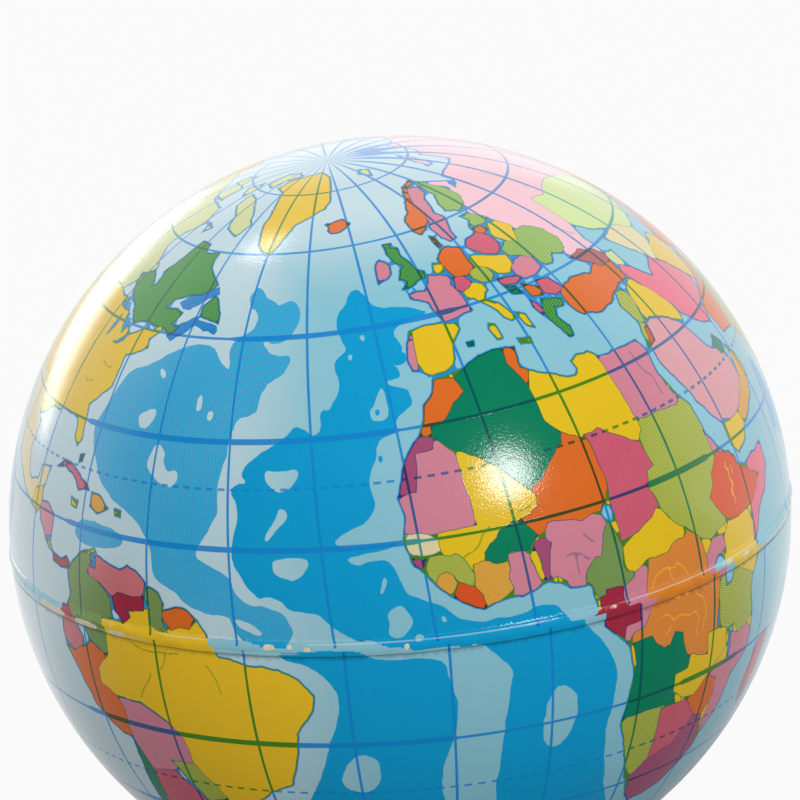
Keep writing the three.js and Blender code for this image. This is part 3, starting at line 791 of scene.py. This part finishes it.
def printedHalf(name, north):
    # one printed film: its outer face is cut along every outline of the map, so that the inks meet sharply
    layers = layersOf(north)
    streams, paths = linesOf(rivers, north), linesOf(trails, north)
    strokes = [(ring(film["rimReach"], film["rimCount"]), True)]
    strokes += [(outline, True) for _, outline in layers]
    strokes += [(line, False) for line in streams + paths]
    if not north:  # the edge of the rest flat
        strokes.append((ring(flatReach(), film["flatCount"]), True))
    verts, faces = cutSheet(strokes)
    middles = verts[faces].mean(1)
    owner = np.full(len(faces), -1)
    for k, (_, outline) in enumerate(layers):
        owner[inside(middles, outline)] = k
    inkIndex = np.array([inkNames.index(ink) for ink, _ in layers] + [inkNames.index("pale")])
    faceInk = inkIndex[owner]
    coast, border, rimSides = sidesOf(faces, owner, faceInk < seaInkCount)

    # the outer face, with a rim that waves a little along the seam
    theta, phi = printedAt(verts[:, 0], verts[:, 1], north)
    outer = ballPoint(theta, phi, 0.0, north)
    rimVerts = np.unique(rimSides)
    rimVerts = rimVerts[np.argsort(np.arctan2(verts[rimVerts, 1], verts[rimVerts, 0]))]
    print(name, "triangles", len(faces), "rim", len(rimVerts), len(rimSides))
    rimPhi = phi[rimVerts]
    waves = film["rimWaves"]
    wave = [noise.noise(Vector((math.cos(f) * waves, math.sin(f) * waves, 2 if north else 5))) for f in rimPhi]
    lift = film["rim"] + film["rimWave"] * np.array(wave)
    outer[rimVerts] = ballPoint(np.arccos(lift / ball["up"]), rimPhi, film["rimTuck"], north)

    # the inner face, coarse, on the same rim
    inner = np.concatenate([verts[rimVerts], hexGrid(film["innerReach"], film["innerPitch"])])
    innerVerts, innerFaces = triangles(inner, loopEdges(0, len(rimVerts)))
    innerTheta, innerPhi = printedAt(innerVerts[:, 0], innerVerts[:, 1], north)
    innerPlace = ballPoint(innerTheta, innerPhi, film["thickness"], north)
    innerRim = np.arccos(lift / (ball["up"] - film["thickness"]))
    innerPlace[:len(rimVerts)] = ballPoint(innerRim, rimPhi, film["thickness"], north)
    offset = len(outer)
    around = np.arange(len(rimVerts))
    following = (around + 1) % len(rimVerts)
    wall = np.stack([rimVerts[around], rimVerts[following], offset + following, offset + around], -1)
    everyFace = faces.tolist() + wall.tolist() + (innerFaces[:, ::-1] + offset).tolist()
    if not north:
        everyFace = [face[::-1] for face in everyFace]
    mesh = bpy.data.meshes.new(name)
    mesh.from_pydata(np.concatenate([outer, innerPlace]).tolist(), [], everyFace)
    piece = bpy.data.objects.new(name, mesh)
    bpy.context.collection.objects.link(piece)
    mesh.update()

    # what the finish reads
    spare = len(innerPlace)
    perFace = np.concatenate([faceInk, np.full(len(wall) + len(innerFaces), inkNames.index("cream"))])
    kinds = np.array([screens.get(ink, 0.0) for ink in inkNames])
    written(mesh, "screen", "FLOAT", "CORNER", kinds[inked(mesh, perFace)])
    edge = np.minimum(sideGap(coast, outer), sideGap(border, outer) + film["borderThinner"])
    gaps = dict(edge=edge, trail=lineGap(paths, verts), river=lineGap(streams, verts))
    for word, gap in gaps.items():
        written(mesh, word, "FLOAT", "POINT", np.append(gap, np.full(spare, film["farAway"])))
    flat = np.concatenate([np.column_stack([verts, np.sin(theta)]), np.zeros((spare, 3))])
    written(mesh, "flat", "FLOAT_VECTOR", "POINT", flat)
    wallStart = len(faces) * 3
    bakePlaces(mesh, verts, innerVerts, wallStart, wallStart + len(wall) * 4)
    mesh.polygons.foreach_set("use_smooth", np.ones(len(mesh.polygons), bool))
    mesh.update()
    return piece, layers


# The print, with a painted haze of reflected light on its pale seas: colours, and lengths in mm on the ball
# unless they are degrees or metres by their note
printLook = dict(
    line=(34, 172, 240), seaLine=(8, 134, 208), trailInk=(244, 176, 44), lineShare=0.94, trailShare=0.8,
    lineHalf=0.1, thickHalf=0.23, coastHalf=0.12, soft=0.05, uneven=0.06, leastHalf=0.05,
    halfStep=7.5, netFrom=4, tropic=23.4, tropicShare=0.9, dash=1.1, dashShare=0.62,  # degrees
    unevenSize=0.004, patchSize=0.006, peel=0.00022, peelDepth=0.000016,  # metres
    lineDepth=0.000006, swellSize=0.007, swellDepth=0.00006,  # metres
    screenPitch=0.36, screenDepth=0.16, screenTurn=(0.72, 0.69), dotsFrom=1.6, patches=0.1,
    # the last two: colour and share of a painted haze of reflected light that whitens the pale seas toward the
    # top and the west
    screenPale=(250, 245, 225), screenDark=(30, 70, 110), paintedHazeColour=(222, 230, 232), paintedHazeShare=0.55,
    roughness=0.13, coat=0.3, coatRoughness=0.15, wornRoughness=0.3, specular=0.5,
)

# Stretches where the parallels are printed thick: from and to a longitude, its fade, and the same in latitude
thickStretches = [(-78, -16, 2, 12, 34, 2), (-46, 2, 3, 42, 48, 1), (24, 37, 1, 12, 18, 1)]

# The worn seam: cream foam where the ink is gone, and painted highlights as pale lines just above and below
# the bead
wearAndHighlightLook = dict(
    creamDark=(206, 192, 156), creamPale=(244, 236, 214), ridgeHighlight=(214, 232, 232), ridgeHighlightShare=0.4,
    grainSize=0.0005, streakSize=0.0016, longSize=0.009, streaks=0.55, grains=0.3,
    ridgeHighlightHeights=(0.5, -0.36), ridgeHighlightHalf=0.02, ridgeHighlightEdge=0.1,
)


def netLines(f, latitude, longitude, across):
    # the net of the globe, its parallels thicker in some stretches, and the dashed tropic
    uneven = (f.noise(printLook["unevenSize"], detail=1) - 0.5) * printLook["uneven"]
    parallel = latitude.math("PINGPONG", printLook["halfStep"]) * ball["degree"]
    meridian = longitude.math("PINGPONG", printLook["halfStep"]) * across * ball["degree"]
    stretches = [longitude.window(*s[:3]) * latitude.window(*s[3:]) for s in thickStretches]
    thick = stretches[0].most(stretches[1]).most(stretches[2])
    half = printLook["lineHalf"] + (printLook["thickHalf"] - printLook["lineHalf"]) * thick + uneven
    half = half.most(printLook["leastHalf"])
    net = (1 - (parallel - half).ramp(0, printLook["soft"])) * (latitude > printLook["netFrom"])
    net = net.most(1 - (meridian - (uneven + printLook["lineHalf"])).ramp(0, printLook["soft"]))
    tropic = 1 - (abs(latitude - printLook["tropic"]) * ball["degree"]).ramp(0.09, 0.14)
    tropic = tropic * (longitude.math("PINGPONG", printLook["dash"]) < printLook["dashShare"])
    return net.most(tropic * printLook["tropicShare"])


def screened(f, ink, screen, x, y, patchy):
    # the screen of the print: fine slanting lines, or dots on the red inks
    wide, high = printLook["screenTurn"]
    turns = math.tau / printLook["screenPitch"]
    slant = ((x * wide + y * high) * turns).math("SINE")
    crossing = ((x * high - y * wide) * turns).math("SINE")
    dots = screen > printLook["dotsFrom"]
    tone = (slant * (1 - dots) + slant * crossing * dots) * screen.least(1.0) * printLook["screenDepth"]
    tone = tone + patchy * printLook["patches"]
    colour = f.mix(tone.most(0) * (screen > 0.5), ink, linear(printLook["screenPale"]))
    shaded = (tone * -1.0).most(0) * (abs(screen - screens["ruled"]) > 0.05)
    return f.mix(shaded, colour, linear(printLook["screenDark"]))


def wearAndHighlightOnSeam(f, colour):
    # painted highlights as pale lines along the seam, and cream foam where the ink is worn off; also how worn
    # it is
    height = f.wire(f.node("ShaderNodeSeparateXYZ", {}, {0: f.objectPlace()}), "Z") * (1 / mm) - ball["centre"]
    long = f.noise(wearAndHighlightLook["longSize"], detail=2)
    edges = wearAndHighlightLook["ridgeHighlightHalf"], wearAndHighlightLook["ridgeHighlightEdge"]
    # painted highlight: pale lines at set heights just above and below the bead, where the ridge catches the
    # light
    above, below = [1 - abs(height - place).ramp(*edges) for place in wearAndHighlightLook["ridgeHighlightHeights"]]
    ridgeHighlight = (above * (long - 0.46).ramp(0, 0.1)).most(below * (0.48 - long).ramp(0, 0.1))
    colour = f.mix(ridgeHighlight * wearAndHighlightLook["ridgeHighlightShare"], colour, linear(wearAndHighlightLook["ridgeHighlight"]))
    grain = f.noise(wearAndHighlightLook["grainSize"], detail=3)
    streak = f.noise(wearAndHighlightLook["streakSize"], detail=2)
    worn = f.attribute("bare") + (streak - 0.5) * wearAndHighlightLook["streaks"] + (grain - 0.5) * wearAndHighlightLook["grains"]
    worn = worn.ramp(0.45, 0.56)
    cream = f.mix(grain, linear(wearAndHighlightLook["creamDark"]), linear(wearAndHighlightLook["creamPale"]))
    return f.mix(worn, colour, cream), worn


def printFinish(name):
    # screen-printed inks under a satin gloss lacquer, with a painted haze of reflected light on the pale seas
    # and painted highlights beside the seam
    f = Finish(bpy.data.materials.new(name))
    ink, screen = f.attribute("ink", "Color"), f.attribute("screen")
    edge, river, trail = f.attribute("edge"), f.attribute("river"), f.attribute("trail")
    x = f.node("ShaderNodeSeparateXYZ", {}, {0: f.attribute("flat", "Vector")})
    y, across = f.wire(x, "Y"), f.wire(x, "Z")
    latitude = 90 - ((x * x + y * y) ** 0.5)
    longitude = y.math("ARCTAN2", x) * math.degrees(1)
    coast = 1 - edge.ramp(printLook["coastHalf"] - printLook["soft"], printLook["coastHalf"] + 0.02)
    stream = (1 - river.ramp(0.07, 0.13)) * 0.55
    lines = netLines(f, latitude, longitude, across).most(coast).most(stream)

    patchy = f.noise(printLook["patchSize"], detail=3) - 0.5
    colour = screened(f, ink, screen, x, y, patchy)
    # painted reflection: the pale seas are whitened toward the top and the west, where the white surroundings
    # haze the lacquer
    shallow = (screen > 0.1) * (screen < 0.3)
    paintedHaze = longitude.window(-135, -50, 26).most(latitude.ramp(48, 68))
    colour = f.mix(shallow * paintedHaze * printLook["paintedHazeShare"], colour, linear(printLook["paintedHazeColour"]))
    over = f.mix(1.0, colour, linear(printLook["line"]), "MULTIPLY")
    water = ((screen > 0.1) * (screen < 0.38)).most((screen > 0.85) * (screen < 0.95))
    over = f.mix(water, over, linear(printLook["seaLine"]))
    colour = f.mix(lines * printLook["lineShare"], colour, over)
    path = 1 - trail.ramp(0.05, 0.12)
    colour = f.mix(path * printLook["trailShare"], colour, linear(printLook["trailInk"]))
    colour, worn = wearAndHighlightOnSeam(f, colour)

    bumps = f.bump(f.noise(printLook["peel"], detail=2), printLook["peelDepth"])
    bumps = f.bump(lines, printLook["lineDepth"], 0.6, bumps)
    bumps = f.bump(f.noise(printLook["swellSize"], detail=1), printLook["swellDepth"], 0.5, bumps)
    rough = printLook["roughness"] + patchy * printLook["patches"] + worn * printLook["wornRoughness"]
    return f.surface(
        Base_Color=colour, Roughness=rough, Normal=bumps, Specular_IOR_Level=printLook["specular"],
        Coat_Weight=printLook["coat"], Coat_Roughness=printLook["coatRoughness"],
    )


# How foam is coloured, with painted shade in its pores, as shares of its colour and of the size of its pores
foamShade = dict(poreShade=0.72, cloud=0.86, cloudShare=0.5, cloudSize=9, roughnessSpread=0.15)


def foamFinish(name, colour, pore, depth, roughness):
    # cream polyurethane foam with open pores, painted darker inside them as shade
    f = Finish(bpy.data.materials.new(name))
    sockets = {"Vector": f.objectPlace(), "Scale": 1 / pore}
    cells = f.node("ShaderNodeTexVoronoi", {"feature": "F1"}, sockets, out="Distance")
    cloud = f.noise(pore * foamShade["cloudSize"], detail=3) - 0.5
    poreShade, shaded = ([c * foamShade[word] for c in colour] for word in ("poreShade", "cloud"))
    # painted shade: each pore is darker toward its middle, where it sinks in
    tone = f.mix(cells.ramp(0.1, 0.55), linear(poreShade), linear(colour))
    tone = f.mix(cloud.most(0) * foamShade["cloudShare"], tone, linear(shaded))
    rough = roughness + cloud * foamShade["roughnessSpread"]
    return f.surface(Base_Color=tone, Roughness=rough, Normal=f.bump(cells, depth))


def cleared():
    bpy.ops.object.select_all(action="DESELECT")


def chosen(piece):
    cleared()
    piece.select_set(True)
    bpy.context.view_layer.objects.active = piece


def applied(piece):
    chosen(piece)
    for modifier in list(piece.modifiers):
        bpy.ops.object.modifier_apply(modifier=modifier.name)


def ellipsoid(name, depth, segments, rings):
    # a ball at its size and place: the layer at this depth in mm under the print
    cleared()
    bpy.ops.mesh.primitive_uv_sphere_add(segments=segments, ring_count=rings, radius=1)
    piece = bpy.context.active_object
    piece.name = piece.data.name = name
    bpy.ops.object.mode_set(mode="EDIT")
    bpy.ops.mesh.select_all(action="SELECT")
    across, up = (ball["across"] - depth) * mm, (ball["up"] - depth) * mm
    bpy.ops.transform.resize(value=(across, across, up), center_override=(0, 0, 0))
    bpy.ops.transform.translate(value=(0, 0, ball["centre"] * mm))
    return piece


def sliced(height, keepAbove, fill):
    # cut the piece in edit mode at a height in mm
    bpy.ops.mesh.select_all(action="SELECT")
    bpy.ops.mesh.bisect(
        plane_co=(0, 0, height * mm), plane_no=(0, 0, 1), use_fill=fill,
        clear_inner=keepAbove, clear_outer=not keepAbove, threshold=0.000001,
    )


# The core: its depth under the print in mm, its pores and dents in metres
foam = dict(
    colour=(240, 231, 208), depth=1.72, pore=0.0007, poreDepth=0.00025, roughness=0.9,
    dent=0.00035, dentSize=0.004, segments=160, rings=96,
)


def foamCore():
    # a ball with its own flat, and a lumpy face
    piece = ellipsoid("foamCore", foam["depth"], foam["segments"], foam["rings"])
    sliced(foam["depth"], True, True)
    bpy.ops.object.mode_set(mode="OBJECT")
    lumps = bpy.data.textures.new("coreLumps", "CLOUDS")
    lumps.noise_scale = foam["dentSize"]
    dents = piece.modifiers.new("dents", "DISPLACE")
    dents.texture = lumps
    dents.texture_coords = "LOCAL"
    dents.strength = -foam["dent"]
    dents.mid_level = 0
    applied(piece)
    return piece


# The skins: mm for the wall, its depth under the print, its rim and the rim's bevel; pores in metres
skin = dict(
    colour=(233, 223, 196), pore=0.0004, poreDepth=0.00008, roughness=0.6,
    thickness=1.1, depth=0.45, rim=0.4, bevel=0.12, bevelSteps=2, bevelAngle=50, segments=144, rings=72,
)


def skinHalf(name, north):
    # one half of the dense skin: a ball, cut at its rim, given its thickness and soft rims
    piece = ellipsoid(name, skin["depth"], skin["segments"], skin["rings"])
    sliced(ball["centre"] + (skin["rim"] if north else -skin["rim"]), north, False)
    if not north:
        sliced(skin["depth"], True, True)
    bpy.ops.object.mode_set(mode="OBJECT")
    wall = piece.modifiers.new("wall", "SOLIDIFY")
    wall.thickness = skin["thickness"] * mm
    wall.offset = -1
    wall.use_even_offset = True
    soft = piece.modifiers.new("soft", "BEVEL")
    soft.width = skin["bevel"] * mm
    soft.segments = skin["bevelSteps"]
    soft.angle_limit = math.radians(skin["bevelAngle"])
    applied(piece)
    return piece


# The bead, in mm: its root, and the ridge across it as height from the equator and depth under the print
bead = dict(
    around=1200, root=1.55, rootHalf=0.25, shoulder=0.3, lineGap=0.15,
    low=0.75, swell=0.5, swells=30, wander=0.07, wanders=14, bareHalf=0.35,
    ridge=[
        (-0.65, 0.30), (-0.65, 0.02), (-0.56, -0.02), (-0.4, -0.08), (-0.2, -0.13), (-0.1, -0.145), (0, -0.15),
        (0.1, -0.145), (0.2, -0.13), (0.4, -0.08), (0.56, -0.02), (0.65, 0.02), (0.65, 0.30),
    ],
)

# Where its cream is bare: a middle longitude and a half length in degrees, a strength, and a height in mm
barePatches = [
    (-82, 5, 1.0, -0.2), (-73, 4, 0.85, -0.3), (-66, 3, 0.7, -0.35), (-60, 2, 0.45, -0.35),
    (-40, 1.2, 0.7, 0.2), (-37, 0.8, 0.6, 0.3), (-34.5, 1, 0.7, 0.1), (-20.5, 0.5, 0.9, 0),
    (9, 4, 0.5, 0.3), (33, 3, 0.5, 0.3), (38, 2, 0.6, 0.1),
]


def beadSpots(places):
    # where on the two flat prints these places of the bead lie, and which are on the northern one
    height = places[:, 2] / mm - ball["centre"]
    norths = height > 0
    degrees = np.degrees(np.arctan2(places[:, 1], places[:, 0])) - fit["turn"]
    southBack = fit["southTurn"] + fit["southSway"] * np.sin(np.radians(degrees + fit["southFrom"]))
    back = np.where(norths, 0, southBack)
    lon = np.radians(degrees + fit["sway"] * np.sin(np.radians(degrees + fit["swayFrom"])) - back)
    r = 90 - np.abs(height) / ball["degree"]
    return np.stack([np.cos(lon) * r, np.sin(lon) * r], -1), norths


def wanderingRidge(mesh):
    # the ridge wanders and is not the same height all round
    for vert in mesh.vertices:
        spot = Vector((vert.co.x, vert.co.y, 0))
        depth = ball["across"] - spot.length / mm
        spot.normalize()
        if depth < 0:
            tall = bead["low"] + bead["swell"] * noise.noise(spot * bead["swells"] + Vector((3, 0, 0)))
            reach = (ball["across"] - depth * tall) * mm
            lift = noise.noise(spot * bead["wanders"]) * bead["wander"] * mm
            vert.co = (spot.x * reach, spot.y * reach, vert.co.z + lift)
    mesh.update()


def barePlaces(degrees, height):
    # how bare the bead is at each place
    bare = np.zeros(len(degrees))
    for middle, half, strength, lean in barePatches:
        along = np.clip(1.3 - np.abs(degrees - middle) / half, 0, 1)
        over = np.clip(1.4 - np.abs(height - lean) / bead["bareHalf"], 0, 1)
        bare = np.maximum(bare, strength * along * over)
    return bare


def partingBead(layers):
    # the bead's profile, spun all round the ball, with the print running on over it
    left = [(-bead["rootHalf"], bead["root"]), (-bead["rootHalf"], bead["shoulder"])]
    right = [(bead["rootHalf"], bead["shoulder"]), (bead["rootHalf"], bead["root"])]
    profile = left + bead["ridge"] + right
    cleared()
    bpy.ops.mesh.primitive_circle_add(vertices=len(profile), radius=0.5 * mm)
    piece = bpy.context.active_object
    mesh = piece.data
    piece.name = mesh.name = "partingBead"
    for vert, (height, depth) in zip(mesh.vertices, profile):
        vert.co = ((ball["across"] - depth) * mm, 0, (ball["centre"] + height) * mm)
    bpy.ops.object.mode_set(mode="EDIT")
    bpy.ops.mesh.select_all(action="SELECT")
    bpy.ops.mesh.spin(steps=bead["around"], angle=math.tau, center=(0, 0, 0), axis=(0, 0, 1))
    bpy.ops.mesh.select_all(action="SELECT")
    bpy.ops.mesh.remove_doubles(threshold=0.000002)
    bpy.ops.mesh.normals_make_consistent(inside=False)
    bpy.ops.object.mode_set(mode="OBJECT")
    wanderingRidge(mesh)

    middles = np.array([face.center[:] for face in mesh.polygons])
    faceInk = np.full(len(middles), inkNames.index("pale"))
    spots, norths = beadSpots(middles)
    for north in (True, False):
        here = np.nonzero(norths == north)[0]
        for ink, outline in layers[north]:
            faceInk[here[inside(spots[here], outline)]] = inkNames.index(ink)
    inked(mesh, faceInk)
    verts = np.array([v.co[:] for v in mesh.vertices])
    degrees = np.degrees(np.arctan2(verts[:, 1], verts[:, 0]))
    height = verts[:, 2] / mm - ball["centre"]
    across = np.where(np.abs(height) < bead["lineGap"], 30.0, 1.0)  # no line crosses the middle of the ridge
    written(mesh, "flat", "FLOAT_VECTOR", "POINT", np.column_stack([beadSpots(verts)[0], across]))
    for word in ("edge", "river", "trail"):
        written(mesh, word, "FLOAT", "POINT", np.full(len(verts), film["farAway"]))
    written(mesh, "bare", "FLOAT", "POINT", barePlaces(degrees, height))
    return piece


def finished(piece, material, node):
    # smooth shading, a finish, the model's part that it stands for hidden, and its place baked into its mesh
    piece.data.materials.clear()
    piece.data.materials.append(material)
    chosen(piece)
    bpy.ops.object.shade_smooth()
    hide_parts(node)
    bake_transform(piece)


# The camera: how far away and off the middle in equator radii, its angles in degrees, its lens in mm
shot = dict(away=18, azimuth=-20, lift=17.505, roll=-4.844, aside=0.0003, below=-0.2966, lens=316.46)

# The light: the white surroundings, and how dim they are where they would haze the print
studio = dict(
    world=0.62, sky=0.42, room=0.02, floor=(0.42, 0.42, 0.42), floorGlow=0.93, floorSize=6,
)

# The lamps: where each is mirrored on the ball and how far off it is, in equator radii and metres,
# its size in metres and its power in watts
lamps = dict(
    keyLamp=(0.262, 0.13, 1.0, 0.24, 2.6),
    sparkLamp=(-0.337, 0.704, 1.2, 0.16, 0.5),
    topLamp=(-0.25, 0.93, 1.6, 1.3, 1.5),
    sideLamp=(-0.94, 0.24, 1.6, 1.1, 9.0),
)


def cameraAxes():
    azimuth, lift, roll = (math.radians(shot[word]) for word in ("azimuth", "lift", "roll"))
    back = Vector((math.cos(lift) * math.cos(azimuth), math.cos(lift) * math.sin(azimuth), math.sin(lift)))
    level = Vector((-math.sin(azimuth), math.cos(azimuth), 0))
    rise = back.cross(level)
    right = math.cos(roll) * level + math.sin(roll) * rise
    return right, math.cos(roll) * rise - math.sin(roll) * level, back


def addCamera():
    right, up, back = cameraAxes()
    radius = ball["across"] * mm
    centre = Vector((0, 0, ball["centre"] * mm))
    camera = bpy.data.objects.new("camera", bpy.data.cameras.new("camera"))
    bpy.context.collection.objects.link(camera)
    place = centre + radius * (shot["away"] * back - shot["aside"] * right - shot["below"] * up)
    camera.matrix_world = Matrix.Translation(place) @ Matrix((right, up, back)).transposed().to_4x4()
    camera.data.lens = shot["lens"]
    camera.data.sensor_width = 36
    camera.data.clip_start, camera.data.clip_end = 0.01, 20
    bpy.context.scene.camera = camera


def glint(name, right, up, distance, size, power):
    # a round lamp whose mirror image lies at this place on the ball, in equator radii from its middle as seen
    axes = cameraAxes()
    forward = math.sqrt(max(0.0, 1 - right ** 2 - up ** 2))
    normal = (axes[0] * right + axes[1] * up + axes[2] * forward).normalized()
    toLamp = (2 * normal.dot(axes[2]) * normal - axes[2]).normalized()
    lamp = bpy.data.lights.new(name, "AREA")
    lamp.shape = "DISK"
    lamp.size = size
    lamp.energy = power
    holder = bpy.data.objects.new(name, lamp)
    bpy.context.collection.objects.link(holder)
    holder.location = Vector((0, 0, ball["centre"] * mm)) + toLamp * distance
    holder.rotation_euler = toLamp.to_track_quat("Z", "Y").to_euler()


def addWorld():
    # white surroundings, brighter overhead, whose front half is dark in the lacquer
    bpy.context.scene.world = bpy.data.worlds.new("white")
    f = Finish(bpy.context.scene.world)
    rays = f.node("ShaderNodeLightPath")
    seen = rays.most(f.wire(rays, "Is Transmission Ray"))
    sockets = {0: f.node("ShaderNodeTexCoord"), 1: cameraAxes()[2]}
    ahead = f.node("ShaderNodeVectorMath", {"operation": "DOT_PRODUCT"}, sockets, out="Value")
    mirrored = f.wire(rays, "Is Glossy Ray") * (1 - seen)
    rise = f.node("ShaderNodeSeparateXYZ", {}, {0: f.node("ShaderNodeTexCoord")}, out="Z")
    strength = studio["world"] + rise.most(0) * studio["sky"] * f.wire(rays, "Is Diffuse Ray")
    strength = strength + seen * (1 - studio["world"])
    strength = strength + mirrored * (ahead.ramp(-0.35, 0.25, 1, studio["room"]) - studio["world"])
    sky = f.node("ShaderNodeBackground", {}, {"Color": (1, 1, 1, 1), "Strength": strength})
    f.node("ShaderNodeOutputWorld", {}, {"Surface": sky})


def paperFinish():
    # pale paper that looks white, and is dim in the lacquer in front of the ball
    f = Finish(bpy.data.materials.new("floorPaper"))
    rays = f.node("ShaderNodeLightPath")
    seen = rays.most(f.wire(rays, "Is Glossy Ray")).most(f.wire(rays, "Is Transmission Ray"))
    x = f.node("ShaderNodeSeparateXYZ", {}, {0: f.objectPlace()})
    mirrored = f.wire(rays, "Is Glossy Ray") * (1 - rays)
    front = (x * 0.94 - f.wire(x, "Y") * 0.34).ramp(-0.06, 0.03, 0, 1 - studio["room"])
    paper = f.node("ShaderNodeBsdfDiffuse", {}, {"Color": (*studio["floor"], 1)})
    glow = f.node("ShaderNodeEmission", {}, {"Color": (1, 1, 1, 1), "Strength": 1 - mirrored * front})
    both = f.node("ShaderNodeMixShader", {}, {0: seen * studio["floorGlow"], 1: paper, 2: glow})
    f.node("ShaderNodeOutputMaterial", {}, {"Surface": both})
    return f.owner


def addStudio():
    for name, values in lamps.items():
        glint(name, *values)
    addWorld()
    cleared()
    bpy.ops.mesh.primitive_grid_add(x_subdivisions=8, y_subdivisions=8, size=studio["floorSize"])
    floor = bpy.context.active_object
    floor.name = "floor"
    floor.data.materials.append(paperFinish())


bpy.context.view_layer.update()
bpy.context.scene.view_settings.view_transform = "Standard"
addCamera()
addStudio()
print("camera and studio ready")

northFilm, northLayers = printedHalf("printFilmNorth", True)
southFilm, southLayers = printedHalf("printFilmSouth", False)
finished(northFilm, printFinish("mapPrintNorth"), "print_film_north")
finished(southFilm, printFinish("mapPrintSouth"), "print_film_south")
print("printed films ready")

seamBead = partingBead({True: northLayers, False: southLayers})
finished(seamBead, printFinish("seamFoam"), "parting_bead")
print("parting bead ready")

skinLook = foamFinish("skinFoam", skin["colour"], skin["pore"], skin["poreDepth"], skin["roughness"])
finished(skinHalf("skinSouth", False), skinLook, "skin_south")
finished(skinHalf("skinNorth", True), skinLook, "skin_north")
coreLook = foamFinish("coreFoam", foam["colour"], foam["pore"], foam["poreDepth"], foam["roughness"])
finished(foamCore(), coreLook, "foam_core")
print("core and skins ready")
